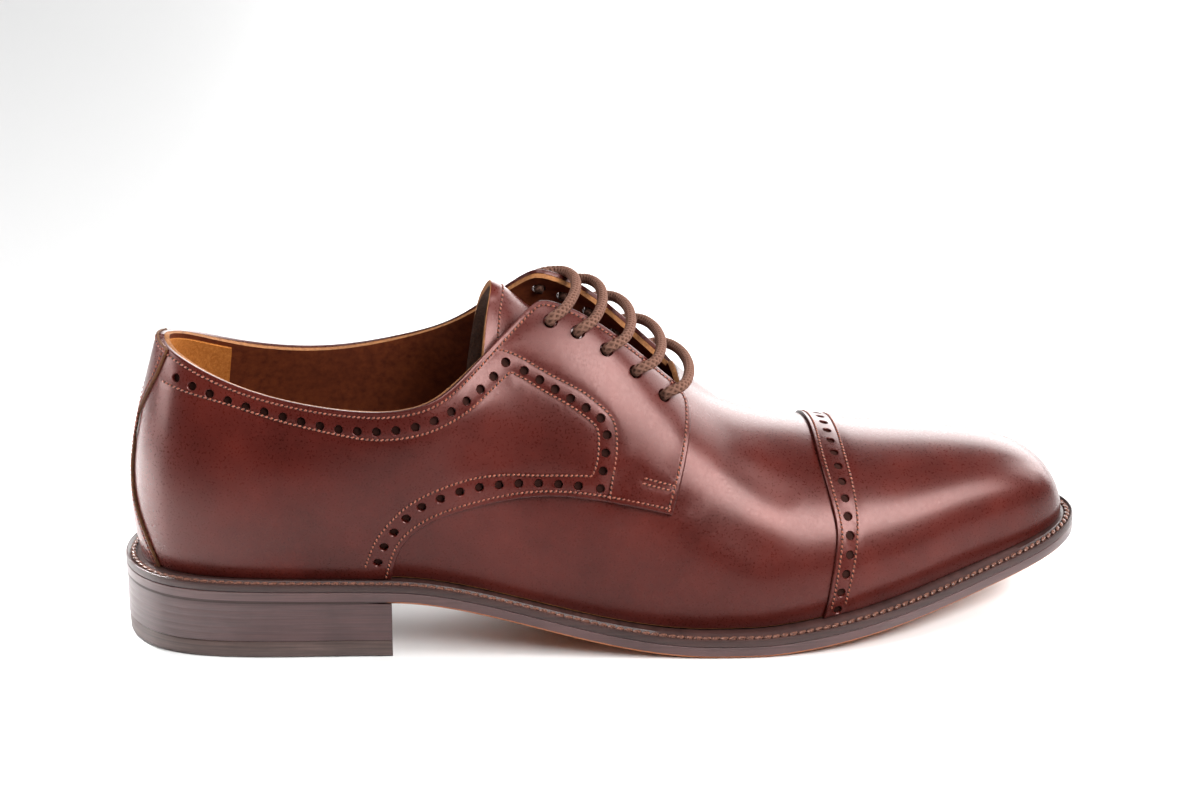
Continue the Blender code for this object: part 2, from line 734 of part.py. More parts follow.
def main():
    for item in list(bpy.data.objects):
        bpy.data.objects.remove(item)

    spots = {side: eyelet_spots(side) for side in (-1, 1)}
    holes = {}
    for side, label in ((-1, "lateral"), (1, "medial")):
        holes[side] = cylinder_cutter("eyelet_cutter_" + label, spots[side], eyelet_diameter / 2,
                                      eyelet_hole_depth)

    upper = build_upper()
    for side in (-1, 1):
        cut(upper, holes[side], "DIFFERENCE")

    # The cutters reach well past the shoe. Each overlay is one grid over the last, cut to its outline.
    over, under = 2.0 * last_height, -0.1 * last_height
    behind, ahead = 2.0 * sole_start, sole_length
    overlay_index = int(round(overlay_row / cell))
    tip_index = len(places) - 1
    hem = side_curve(facing_front, 3)[:-1] + side_curve(quarter_hem)
    outline = [(hem[0][0], over)] + hem + [(hem[-1][0], under), (behind, under), (behind, over)]
    for side, name in ((-1, "quarter_lateral"), (1, "quarter_medial")):
        quarter = build_overlay(name, (side,), 0, overlay_index, fit_gap, overlay_thickness,
                                tip_index + 1, fit_gap / 2)
        depth = sorted((-side * ball_width / 10, side * ball_width))
        cut(quarter, side_cutter(name + "_cutter", outline, depth), "INTERSECT")
        cut(quarter, holes[side], "DIFFERENCE")

    cap_line = side_curve(cap_edge)
    outline = [(ahead, over), (ahead, under), (cap_line[0][0], under)] + cap_line
    outline.append((cap_line[-1][0], over))
    cap = build_overlay("toe_cap", (-1, 1), overlay_index, tip_index, fit_gap, overlay_thickness, 0)
    cut(cap, side_cutter("cap_cutter", outline, (-ball_width, ball_width)), "INTERSECT")

    strap_line = side_curve(strap_edge)
    outline = [(behind, under), (strap_line[0][0], under)] + strap_line
    outline += [(strap_line[-1][0], over), (behind, over)]
    strap = build_overlay("back_strap", (-1, 1), 0, int(round(strap_row / cell)),
                          2 * fit_gap + overlay_thickness, strap_thickness, tip_index + 1)
    cut(strap, side_cutter("strap_cutter", outline, (-ball_width, ball_width)), "INTERSECT")

    build_tongue()
    build_insole()
    build_welt()

    def sole_top(x):
        return sole_height(x) + sole_thickness

    build_plate("outsole", plate_lines(places, 0.0), sole_height, sole_top, (0.05, 0.028, 0.02), 0.45)
    heel_lines = plate_lines(places, heel_inset, 0.0, sole_start + heel_length)
    build_plate("heel_stack", heel_lines, lambda x: lift_thickness + fit_gap,
                lambda x: sole_height(x) - fit_gap, (0.05, 0.03, 0.024), 0.5)
    build_plate("heel_lift", heel_lines, lambda x: 0.0, lambda x: lift_thickness, (0.04, 0.024, 0.02), 0.6)

    for number, (near, far) in enumerate(zip(spots[-1], spots[1]), 1):
        build_lace(number, near, far)


main()
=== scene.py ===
import math

import bpy
import bmesh
import numpy as np
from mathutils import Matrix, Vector, geometry, kdtree


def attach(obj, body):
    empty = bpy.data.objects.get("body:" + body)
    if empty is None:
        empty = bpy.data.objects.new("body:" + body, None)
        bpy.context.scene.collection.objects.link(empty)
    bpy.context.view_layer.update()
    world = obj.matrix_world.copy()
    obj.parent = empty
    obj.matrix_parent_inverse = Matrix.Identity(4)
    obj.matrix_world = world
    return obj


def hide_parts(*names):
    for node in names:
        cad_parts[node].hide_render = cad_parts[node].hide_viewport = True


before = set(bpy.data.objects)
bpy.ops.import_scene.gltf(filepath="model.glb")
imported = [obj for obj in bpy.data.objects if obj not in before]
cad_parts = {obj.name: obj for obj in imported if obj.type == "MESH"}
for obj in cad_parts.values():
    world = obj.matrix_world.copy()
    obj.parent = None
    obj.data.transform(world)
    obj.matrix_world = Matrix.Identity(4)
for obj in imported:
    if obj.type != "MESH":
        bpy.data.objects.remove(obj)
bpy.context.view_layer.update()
root = "root"
print("frame loaded:", len(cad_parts), "nodes")

# The last, in the same named sizes as the solids. Metres, toe along +X, outer side -Y.
shoe = dict(length=0.305, ballWidth=0.108, heelHeight=0.0178, heelLength=0.081, toeSpring=0.0170,
            lastHeight=0.100, soleThickness=0.0038, weltThickness=0.0022, weltDepth=0.0075,
            liftThickness=0.0055, insoleThickness=0.0030, wall=0.0016,
            tongue=0.0020, gap=0.0003, facingGap=0.027,
            ballStart=0.595, ballEnd=0.640, archFall=0.90, toeRise=1.30, seatRise=0.0012)
outlineTable = dict(
    along=[0.000, 0.034, 0.118, 0.215, 0.315, 0.415, 0.515, 0.615, 0.710, 0.800, 0.888, 0.962, 1.000],
    lateral=[0.000, 0.205, 0.290, 0.318, 0.350, 0.388, 0.430, 0.465, 0.457, 0.387, 0.268, 0.145, -0.055],
    medial=[0.000, 0.225, 0.328, 0.335, 0.300, 0.275, 0.305, 0.405, 0.505, 0.520, 0.448, 0.312, 0.055],
    reach=[0.070, 0.066, 0.060, 0.056, 0.056, 0.060, 0.068, 0.076, 0.084, 0.086, 0.080, 0.062, 0.047])
lateralTable = dict(
    topAlong=[0.056, 0.075, 0.130, 0.221, 0.313, 0.375, 0.477, 0.598, 0.703, 0.795, 0.884, 0.956],
    topAcross=[0.000, 0.095, 0.160, 0.230, 0.235, 0.000, -0.010, -0.020, -0.035, -0.055, -0.066, -0.070],
    topHeight=[1.040, 1.020, 0.970, 0.930, 1.020, 1.125, 1.055, 0.705, 0.570, 0.512, 0.476, 0.400],
    lowOut=[0.070, 0.080, 0.090, 0.085, 0.070, 0.050, 0.060, 0.070, 0.075, 0.060, 0.035, 0.012],
    lowUp=[0.300, 0.300, 0.300, 0.300, 0.340, 0.380, 0.360, 0.280, 0.240, 0.210, 0.190, 0.120],
    highOut=[0.072, 0.090, 0.090, 0.080, 0.120, 0.240, 0.250, 0.280, 0.290, 0.270, 0.210, 0.130],
    highDrop=[0.300, 0.300, 0.300, 0.280, 0.300, 0.060, 0.030, 0.000, 0.000, 0.000, 0.000, 0.000])
medialTable = dict(
    lateralTable,
    topAcross=[0.000, 0.100, 0.165, 0.228, 0.240, 0.000, 0.010, 0.020, 0.035, 0.055, 0.066, 0.070],
    topHeight=[1.040, 1.020, 0.970, 0.930, 1.030, 1.125, 1.055, 0.705, 0.570, 0.512, 0.476, 0.400],
    lowOut=[0.070, 0.080, 0.090, 0.080, 0.075, 0.080, 0.090, 0.090, 0.075, 0.060, 0.040, 0.018],
    highOut=[0.072, 0.090, 0.090, 0.080, 0.110, 0.280, 0.295, 0.260, 0.270, 0.260, 0.210, 0.130],
    highDrop=[0.300, 0.300, 0.300, 0.280, 0.300, 0.025, 0.000, 0.000, 0.000, 0.000, 0.000, 0.000])
collarTable = [0.962, 0.925, 0.850, 0.798, 0.828, 0.970, 1.180]
rowCount = 12
throatRow = 6.75
soleStart = -shoe["length"] / 2
breastShare = shoe["heelLength"] / shoe["length"]


def unit(vectors):
    return vectors / np.linalg.norm(vectors, axis=-1, keepdims=True)


def softStep(value):
    value = np.clip(value, 0.0, 1.0)
    return value * value * (3.0 - 2.0 * value)


def mirrored(side, girth):
    return girth if side < 0 else 2.0 - girth


def lengthsAlong(points):
    return np.concatenate([[0.0], np.cumsum(np.linalg.norm(np.diff(points, axis=0), axis=1))])


def pointsAt(where, known, line):
    return np.stack([np.interp(where, known, column) for column in np.transpose(line)], axis=-1)


def treeOf(points):
    tree = kdtree.KDTree(len(points))
    for i, point in enumerate(points):
        tree.insert((*point, 0.0)[:3], i)
    tree.balance()
    return tree


def naturalSpline(values):
    values = np.asarray(values, dtype=float)
    count = len(values)
    matrix = np.eye(count)
    right = np.zeros(count)
    for i in range(1, count - 1):
        matrix[i, i - 1:i + 2] = (1.0, 4.0, 1.0)
        right[i] = 6.0 * (values[i - 1] - 2.0 * values[i] + values[i + 1])
    return values, np.linalg.solve(matrix, right)


def onSpline(spline, place):
    values, bends = spline
    place = np.clip(np.asarray(place, dtype=float), 0.0, len(values) - 1.0)
    cell = np.minimum(place.astype(int), len(values) - 2)
    right = place - cell
    left = 1.0 - right
    return (left * values[cell] + right * values[cell + 1]
            + ((left ** 3 - left) * bends[cell] + (right ** 3 - right) * bends[cell + 1]) / 6.0)


def rowCurve(values, toeSign, heelValues=None):
    values = list(values)
    before = list(heelValues if heelValues is not None else values)[1:5][::-1]
    after = values[-5:-1][::-1] if toeSign > 0 else [2.0 * values[-1] - v for v in values[-5:-1][::-1]]
    spline = naturalSpline(before + values + after)
    return lambda place: onSpline(spline, np.asarray(place, dtype=float) + 4)


def outlineCurve(name, sign):
    other = "medial" if name == "lateral" else "lateral"
    near = [sign * shoe["ballWidth"] * v for v in outlineTable[name]]
    far = [-sign * shoe["ballWidth"] * v for v in outlineTable[other]]
    near[-1] = far[-1] = shoe["ballWidth"] * outlineTable["medial"][-1]
    spline = naturalSpline(far[1:5][::-1] + near + far[-5:-1][::-1])
    return lambda place: onSpline(spline, np.asarray(place, dtype=float) + 4)


alongCurve = rowCurve(outlineTable["along"], 1)
reachCurve = rowCurve(outlineTable["reach"], 1)
acrossCurves = {-1: outlineCurve("lateral", -1), 1: outlineCurve("medial", 1)}
coarsePlaces = np.arange(0.0, rowCount + 0.125, 0.25)
centreShift = -(acrossCurves[-1](coarsePlaces).min() + acrossCurves[1](coarsePlaces).max()) / 2


def soleHeight(x):
    share = (np.asarray(x, dtype=float) - soleStart) / shoe["length"]
    fall = np.clip((share - breastShare) / (shoe["ballStart"] - breastShare), 0.0, 1.0)
    heelPart = shoe["heelHeight"] * (0.5 + 0.5 * np.cos(math.pi * fall ** shoe["archFall"]))
    seat = shoe["seatRise"] * np.clip(1.0 - share / breastShare, 0.0, 1.0)
    rise = np.clip((share - shoe["ballEnd"]) / (1.0 - shoe["ballEnd"]), 0.0, 1.0)
    return heelPart + seat + shoe["toeSpring"] * rise ** shoe["toeRise"]


def outlinePoint(side, place, inset=0.0):
    place = np.asarray(place, dtype=float)

    def at(where):
        folded = np.where(where < 0, -where, np.where(where > rowCount, 2 * rowCount - where, where))
        return soleStart + shoe["length"] * alongCurve(folded), acrossCurves[side](where) + centreShift

    x, y = at(place)
    ahead, behind = at(place + 0.01), at(place - 0.01)
    direction = unit(np.stack([ahead[0] - behind[0], ahead[1] - behind[1]], axis=-1))
    outward = np.stack([-side * direction[..., 1], side * direction[..., 0]], axis=-1)
    return x - outward[..., 0] * inset, y - outward[..., 1] * inset, outward


def weltTop(x):
    return soleHeight(x) + shoe["soleThickness"] + shoe["gap"] + shoe["weltThickness"]


def upperFoot(side, place):
    x, y, outward = outlinePoint(side, place, shoe["ballWidth"] * reachCurve(place))
    return np.stack([x, y, weltTop(x) + shoe["gap"]], axis=-1), outward


tipFoot = upperFoot(-1, np.array([float(rowCount)]))[0][0]


def sectionCurves(side, table, otherTable):
    scale = side * shoe["ballWidth"]
    curves = {
        "x": rowCurve([soleStart + shoe["length"] * v for v in table["topAlong"]] + [tipFoot[0]], 1),
        "y": rowCurve([centreShift + scale * v for v in table["topAcross"]] + [tipFoot[1]], 1,
                      [centreShift - scale * v for v in otherTable["topAcross"]] + [tipFoot[1]]),
        "z": rowCurve([shoe["lastHeight"] * v for v in table["topHeight"]] + [tipFoot[2]], -1),
    }
    for name in ("lowOut", "lowUp", "highOut", "highDrop"):
        curves[name] = rowCurve([shoe["lastHeight"] * v for v in table[name]] + [0.0], -1)
    return curves


sectionSides = {-1: sectionCurves(-1, lateralTable, medialTable), 1: sectionCurves(1, medialTable, lateralTable)}


def lastPoint(side, place, up):
    place = np.asarray(place, dtype=float)
    up = np.asarray(up, dtype=float)[..., None]
    curves = sectionSides[side]
    foot, outward = upperFoot(side, place)
    top = np.stack([curves["x"](place), curves["y"](place), curves["z"](place)], axis=-1)
    out = np.concatenate([outward, np.zeros(outward.shape[:-1] + (1,))], axis=-1)
    across = np.zeros_like(out)
    across[..., 1] = side
    squareness = softStep((place - 4.0) / 1.5)[..., None]
    topOut = out * (1.0 - squareness) + across * squareness
    lift = np.array([0.0, 0.0, 1.0])
    low = foot + out * curves["lowOut"](place)[..., None] + lift * curves["lowUp"](place)[..., None]
    high = top + topOut * curves["highOut"](place)[..., None] - lift * curves["highDrop"](place)[..., None]
    down = 1.0 - up
    return down ** 3 * foot + 3 * down * down * up * low + 3 * down * up * up * high + up ** 3 * top


def lastNormal(side, place, up):
    step = 0.012
    place = np.minimum(place, rowCount - 0.03)
    low = np.maximum(up - step, 0.0)
    high = np.minimum(up + step, 1.0)
    run = lastPoint(side, place + step, up) - lastPoint(side, np.maximum(place - step, 0.0), up)
    rise = lastPoint(side, place, high) - lastPoint(side, place, low)
    return unit(np.cross(run, rise) * -side)


def shellPoint(side, place, up, offset):
    normal = lastNormal(side, place, up)
    meets = (place < 1e-6) | ((up > 1.0 - 1e-6) & (place > 5.0))
    normal[..., 1] = np.where(meets, 0.0, normal[..., 1])
    atTip = place > rowCount - 1e-6
    normal = unit(np.where(atTip[..., None], np.array([1.0, 0.0, 0.0]), normal))
    return lastPoint(side, place, up) + normal * offset[..., None]


# A flat pattern covers the whole upper. place counts the rows from the back (negative on the inner
# side) and girth runs from the outer foot (0) over the ridge (1) to the inner foot (2).
def unfold(place, girth):
    place, girth = np.broadcast_arrays(np.asarray(place, dtype=float), np.asarray(girth, dtype=float))
    girth = np.where(place < 0, 2.0 - girth, girth)
    place = np.abs(place)
    outer = girth <= 1.0
    return place, np.where(outer, girth, 2.0 - girth), outer


def onShoe(place, girth, offset=0.0):
    place, up, outer = unfold(place, girth)
    offset = np.broadcast_to(np.asarray(offset, dtype=float), place.shape)
    points = np.empty(place.shape + (3,))
    for side, mask in ((-1, outer), (1, ~outer)):
        if mask.any():
            points[mask] = shellPoint(side, place[mask], up[mask], offset[mask])
    return points


def frameOn(lay, a, b, height=0.0):
    # tangents along both pattern directions and the outward normal
    stepA = 0.01
    stepB = np.where(np.asarray(b) > (1.0 if lay is onShoe else 0.0), 0.004, -0.004)
    here = lay(a, b, height)
    alongA = (lay(a + stepA, b, height) - lay(a - stepA, b, height)) / (2 * stepA)
    alongB = (lay(a, b + stepB, height) - here) / stepB[..., None]
    return here, alongA, alongB, unit(np.cross(alongA, alongB))


def patternStep(lay, a, b, vectors):
    here, alongA, alongB, normal = frameOn(lay, a, b)
    aa, bb, ab = (alongA * alongA).sum(-1), (alongB * alongB).sum(-1), (alongA * alongB).sum(-1)
    av, bv = (alongA * vectors).sum(-1), (alongB * vectors).sum(-1)
    det = aa * bb - ab * ab
    return np.stack([(bb * av - ab * bv) / det, (aa * bv - ab * av) / det], axis=-1)


# The tongue runs over its own rows, and across from -1 to 1.
tongueSize = dict(freeEnd=5.12, seat=7.4, halfWidth=0.027, stitchRow=5.27, bend=0.30, sag=0.0110,
                  slant=0.45, innerSlant=1.2, slack=0.0016)


def tongueFlank(row, across, height):
    slack = shoe["gap"] + tongueSize["slack"] * np.clip(2.0 * (7.2 - row), 0.0, 1.0)
    offset = height - (shoe["wall"] + slack + shoe["tongue"])
    back = tongueSize["slant"] * np.clip((6.2 - row) / 1.08, 0.0, 1.0)
    points = np.empty(row.shape + (3,))
    for side, mask in ((-1, across <= 0.0), (1, across > 0.0)):
        if mask.any():
            start = np.interp(row[mask], tongueRows, tongueStarts[side])
            up = start + (1.0 - start) * (1.0 - np.abs(across[mask]))
            reach = back * np.abs(across) * (1.0 if side < 0 else tongueSize["innerSlant"])
            points[mask] = shellPoint(side, row[mask] - reach[mask], up, offset[mask])
    return points


def onTongue(row, across, height=0.0):
    row, across, height = np.broadcast_arrays(*[np.asarray(v, dtype=float) for v in (row, across, height)])
    points = tongueFlank(row, across, height)
    # a soft bend takes the place of the ridge, which is sharp this far inside the upper
    width, step = tongueSize["bend"], 0.05
    edges, aim = [], 0.0
    for turn in (-1.0, 1.0):
        edge = tongueFlank(row, np.full_like(across, turn * width), height)
        beyond = tongueFlank(row, np.full_like(across, turn * (width + step)), height)
        edges.append(edge)
        aim = aim + edge + (edge - beyond) * width / step
    share = (np.clip(across / width, -1.0, 1.0)[..., None] + 1.0) / 2.0
    bend = edges[0] * (1 - share) ** 2 + aim * share * (1 - share) + edges[1] * share ** 2
    points = np.where(np.abs(across)[..., None] < width, bend, points)
    # between the facings it sags, and its free end stands up
    drop = softStep((row - 5.08) / 0.60) * softStep((7.25 - row) / 0.7) * np.clip(1.0 - across ** 2, 0.0, 1.0)
    points[..., 2] -= tongueSize["sag"] * drop
    return points


searchLevels = np.linspace(0.3, 1.0, 141)
tongueRows = np.linspace(4.6, 7.5, 30)
tongueStarts = {-1: [], 1: []}
for side, starts in tongueStarts.items():
    for row in tongueRows:
        points = lastPoint(side, np.full_like(searchLevels, row), searchLevels)
        width = side * (points[:, 1] - points[-1, 1])
        starts.append(np.interp(-tongueSize["halfWidth"], np.maximum.accumulate(-width), searchLevels))

collarCurve = naturalSpline(collarTable)


def edgeUp(side, place):
    # the collar up to the first row, then the facing's edge from the second one, as a level on one section
    facingStart, collarEnd = 4.6, 5.9
    place = min(abs(place), throatRow)
    points = lastPoint(side, np.full_like(searchLevels, place), searchLevels)
    ridge = sectionSides[side]["y"](np.array([max(place, 5.0)]))[0]
    byHeight = 1.0
    if place < collarEnd:
        height = shoe["lastHeight"] * float(onSpline(collarCurve, np.array([place]))[0])
        byHeight = np.interp(height, np.maximum.accumulate(points[:, 2]), searchLevels)
    if place < facingStart:
        return byHeight
    width = side * (points[:, 1] - ridge)
    byWidth = np.interp(-shoe["facingGap"] / 2, np.maximum.accumulate(-width), searchLevels)
    if place < collarEnd:
        return -0.02 * math.log(math.exp(-byHeight / 0.02) + math.exp(-byWidth / 0.02))
    return byWidth


# Lines of the quarter in side view: shares of the shoe's length and of the last's height.
quarterLines = dict(
    front=dict(along=[0.577, 0.577, 0.571, 0.549], up=[0.900, 0.740, 0.640, 0.446]),
    hem=dict(along=[0.549, 0.490, 0.412, 0.334, 0.296, 0.275, 0.264],
             up=[0.446, 0.489, 0.513, 0.478, 0.425, 0.345, 0.200]),
    toplineHoles=dict(along=[0.059, 0.094, 0.127, 0.163, 0.199, 0.237, 0.274, 0.311, 0.345, 0.373, 0.387],
                      up=[0.871, 0.835, 0.803, 0.776, 0.752, 0.741, 0.748, 0.771, 0.815, 0.872, 0.911]),
    facingHoles=dict(along=[0.405, 0.436, 0.467, 0.481, 0.4855, 0.483, 0.477],
                     up=[0.885, 0.828, 0.770, 0.737, 0.690, 0.636, 0.534]),
    hemHoles=dict(along=[0.455, 0.416, 0.375, 0.335, 0.298, 0.282, 0.269, 0.259, 0.253],
                  up=[0.544, 0.555, 0.557, 0.545, 0.503, 0.464, 0.413, 0.361, 0.306]),
    toplineLow=dict(along=[0.045, 0.097, 0.133, 0.171, 0.227, 0.264, 0.303, 0.339, 0.363, 0.391],
                    up=[0.851, 0.818, 0.788, 0.756, 0.724, 0.719, 0.737, 0.775, 0.820, 0.884]),
    facingOuter=dict(along=[0.381, 0.397, 0.412, 0.436, 0.461, 0.479, 0.491, 0.495, 0.494, 0.490, 0.486],
                     up=[0.947, 0.930, 0.905, 0.863, 0.822, 0.780, 0.741, 0.694, 0.630, 0.571, 0.500]),
    facingInner=dict(along=[0.391, 0.407, 0.422, 0.440, 0.456, 0.470, 0.4765, 0.4765, 0.474, 0.469],
                     up=[0.884, 0.859, 0.830, 0.799, 0.768, 0.735, 0.705, 0.652, 0.609, 0.573]),
    hemUpper=dict(along=[0.469, 0.440, 0.411, 0.388, 0.362, 0.338, 0.316, 0.296, 0.280, 0.267, 0.251, 0.240],
                  up=[0.573, 0.577, 0.580, 0.586, 0.586, 0.577, 0.558, 0.531, 0.497, 0.455, 0.383, 0.285]),
    barTack=dict(along=[0.521, 0.537, 0.554], up=[0.562, 0.546, 0.530]))
capLines = dict(
    edge=dict(along=[0.705, 0.709, 0.713, 0.718, 0.720, 0.717, 0.713, 0.711, 0.713],
              up=[0.080, 0.140, 0.220, 0.305, 0.367, 0.433, 0.500, 0.553, 0.590]),
    holes=dict(along=[0.719, 0.722, 0.727, 0.732, 0.7335, 0.732, 0.731, 0.729, 0.729],
               up=[0.080, 0.159, 0.220, 0.282, 0.338, 0.435, 0.495, 0.551, 0.590]),
    front=dict(along=[0.727, 0.729, 0.736, 0.741, 0.743, 0.742, 0.740, 0.741],
               up=[0.080, 0.144, 0.246, 0.335, 0.402, 0.476, 0.540, 0.590]))
strapLine = dict(along=[0.038, 0.025, 0.016, 0.013, 0.015, 0.021, 0.030, 0.042, 0.055],
                 up=[0.230, 0.342, 0.430, 0.510, 0.591, 0.694, 0.782, 0.864, 0.960])


def sideCurve(table, steps=6):
    along, up = naturalSpline(table["along"]), naturalSpline(table["up"])
    where = np.linspace(0, len(table["along"]) - 1, steps * (len(table["along"]) - 1) + 1)
    return soleStart + shoe["length"] * onSpline(along, where), shoe["lastHeight"] * onSpline(up, where)


panelHeight = 0.0015
searchGrid = {}
for side in (-1, 1):
    placeGrid, upGrid = np.meshgrid(np.linspace(0, 9, 301), np.linspace(0, 1, 101), indexing="ij")
    points = shellPoint(side, placeGrid, upGrid, np.full(placeGrid.shape, panelHeight))
    searchGrid[side] = (placeGrid.ravel(), upGrid.ravel(), points[..., 0].ravel(), points[..., 2].ravel())


def layLine(side, table, steps=6):
    # a side view line onto the pattern
    x, z = sideCurve(table, steps)
    placeGrid, upGrid, gridX, gridZ = searchGrid[side]
    near = ((gridX[:, None] - x) ** 2 + (gridZ[:, None] - z) ** 2).argmin(0)
    place, up = placeGrid[near].copy(), upGrid[near].copy()
    height = np.full(place.shape, panelHeight)
    for _ in range(4):
        here = shellPoint(side, place, up, height)
        alongPlace = (shellPoint(side, place + 0.01, up, height) - here) / 0.01
        alongUp = (shellPoint(side, place, up - 0.01, height) - here) / -0.01
        errorX, errorZ = x - here[:, 0], z - here[:, 2]
        det = alongPlace[:, 0] * alongUp[:, 2] - alongUp[:, 0] * alongPlace[:, 2]
        place = place + np.clip((errorX * alongUp[:, 2] - errorZ * alongUp[:, 0]) / det, -0.1, 0.1)
        up = np.clip(up + np.clip((errorZ * alongPlace[:, 0] - errorX * alongPlace[:, 2]) / det, -0.05, 0.05),
                     -0.2, 0.999)
        place = np.maximum(place, 0.0)
    keep = up > 0.0
    line = np.stack([place, up], axis=-1)
    if not keep.all():
        last = int(np.argmin(keep))
        a, b = line[last - 1], line[last]
        line = np.concatenate([line[:last], [a + (b - a) * a[1] / (a[1] - b[1])]])
    line[:, 1] = mirrored(side, line[:, 1])
    return line


def crossLine(table, girths, first, last):
    # a line that crosses the sections: its place on each girth, both sides alike in side view
    x, z = sideCurve(table)
    order = np.argsort(z)
    rows = []
    for girth in girths:
        places = np.linspace(first, last, 90)
        points = onShoe(places, girth, panelHeight)
        miss = points[:, 0] - np.interp(points[:, 2], z[order], x[order])
        rows.append((np.interp(0.0, miss, places), girth))
    return np.array(rows)


patternScale = np.array([0.027, 0.080])


def roundCorner(line, corner, reach):
    run = lengthsAlong(line * patternScale)
    a, b = run[corner] - reach, run[corner] + reach
    start, end = pointsAt(a, run, line), pointsAt(b, run, line)
    bend = [(1 - t) ** 2 * start + 2 * t * (1 - t) * line[corner] + t * t * end for t in np.linspace(0, 1, 9)]
    return np.concatenate([line[run < a - 1e-5], bend, line[run > b + 1e-5]])


def evenly(lay, line, spacing=None, count=None, inset=0.0):
    # pattern points at even distances over the surface
    size = len(line)
    fine = pointsAt(np.linspace(0, size - 1, 12 * size), np.arange(size), line)
    run = lengthsAlong(lay(fine[:, 0], fine[:, 1], 0.0))
    if count is None:
        count = max(2, int(round((run[-1] - 2 * inset) / spacing)) + 1)
    return pointsAt(np.linspace(inset, run[-1] - inset, count), run, fine)


def shiftLine(lay, line, distance):
    # to the left of the line's run, seen from outside
    run = np.gradient(lay(line[:, 0], line[:, 1], 0.0), axis=0)
    left = unit(np.cross(frameOn(lay, line[:, 0], line[:, 1])[3], run))
    return line + patternStep(lay, line[:, 0], line[:, 1], left * distance)


def ringAround(lay, spot, radius, segments=16):
    here, alongA, alongB, normal = frameOn(lay, np.array([spot[0]]), np.array([spot[1]]))
    first = unit(alongA[0])
    turns = np.arange(segments)[:, None] * 2 * math.pi / segments
    vectors = radius * (np.cos(turns) * first + np.sin(turns) * np.cross(normal[0], first))
    return spot + patternStep(lay, np.full(segments, spot[0]), np.full(segments, spot[1]), vectors)


def insetBorder(border, distance):
    lefts = []
    for step in (border - np.roll(border, 1, axis=0), np.roll(border, -1, axis=0) - border):
        step = unit(step)
        lefts.append(np.stack([-step[:, 1], step[:, 0]], axis=1))
    share = np.maximum(1.0 + (lefts[0] * lefts[1]).sum(1), 0.35)
    return border + distance * (lefts[0] + lefts[1]) / share[:, None]


def insideLoop(points, loop):
    x, y = points[:, 0][:, None], points[:, 1][:, None]
    x0, y0 = loop[:, 0], loop[:, 1]
    x1, y1 = np.roll(x0, -1), np.roll(y0, -1)
    crosses = (y0 > y) != (y1 > y)
    with np.errstate(divide="ignore", invalid="ignore"):
        at = (x1 - x0) * (y - y0) / (y1 - y0) + x0
    return (np.sum(crosses & (x < at), axis=1) % 2) == 1


def flatSheet(border, pitch, holes=(), extra=()):
    # triangles over a flat outline with holes, all in metres; extra points are kept as they are
    loops = [border] + list(holes)
    fixed = np.concatenate(loops + ([extra] if len(extra) else []))
    tree = treeOf(fixed)
    low, high = border.min(0), border.max(0)
    grid = [(x, y) for j, y in enumerate(np.arange(low[1], high[1], pitch * 0.87))
            for x in np.arange(low[0] + (j % 2) * pitch / 2, high[0], pitch)
            if tree.find((x, y, 0.0))[2] > 0.62 * pitch]
    points = np.concatenate([fixed] + ([grid] if grid else []))
    starts = [sum(len(loop) for loop in loops[:k]) for k in range(len(loops))]
    edges = [(start + i, start + (i + 1) % len(loop)) for start, loop in zip(starts, loops) for i in range(len(loop))]
    result = geometry.delaunay_2d_cdt([Vector(p) for p in points], edges, [], 0, 1e-9, True)
    flat = np.array([tuple(v) for v in result[0]])
    index = {original: i for i, originals in enumerate(result[3]) for original in originals}
    triangles = np.array([face for face in result[2] if len(face) == 3])
    middles = flat[triangles].mean(1)
    keep = insideLoop(middles, border)
    for loop in holes:
        keep &= ~insideLoop(middles, loop)
    triangles = triangles[keep]
    a, b, c = (flat[triangles[:, k]] for k in range(3))
    turned = (b[:, 0] - a[:, 0]) * (c[:, 1] - a[:, 1]) - (b[:, 1] - a[:, 1]) * (c[:, 0] - a[:, 0]) < 0
    triangles[turned] = triangles[turned][:, ::-1]
    return flat, triangles, [[index[start + i] for i in range(len(loop))] for start, loop in zip(starts, loops)]


def thinned(points, least):
    tree = treeOf(points)
    keep, taken = [], set()
    for i, point in enumerate(points):
        if i not in taken:
            keep.append(i)
            taken.update(found[1] for found in tree.find_range((*point, 0.0), least))
    return points[keep]


def finishPiece(name, vertices, faces, faceSlots, materials, sharp=38, merge=1e-6):
    mesh = bpy.data.meshes.new(name)
    mesh.from_pydata([tuple(v) for v in vertices], [], [tuple(int(i) for i in f) for f in faces])
    for material in materials:
        mesh.materials.append(material)
    mesh.polygons.foreach_set("material_index", np.asarray(faceSlots, dtype=np.int32))
    bm = bmesh.new()
    bm.from_mesh(mesh)
    bmesh.ops.remove_doubles(bm, verts=bm.verts, dist=merge)
    bmesh.ops.dissolve_degenerate(bm, edges=bm.edges, dist=1e-7)
    bmesh.ops.delete(bm, geom=[v for v in bm.verts if not v.link_faces], context="VERTS")
    bm.to_mesh(mesh)
    bm.free()
    mesh.shade_smooth()
    mesh.set_sharp_from_angle(angle=math.radians(sharp))
    piece = bpy.data.objects.new(name, mesh)
    bpy.context.scene.collection.objects.link(piece)
    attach(piece, root)
    return piece


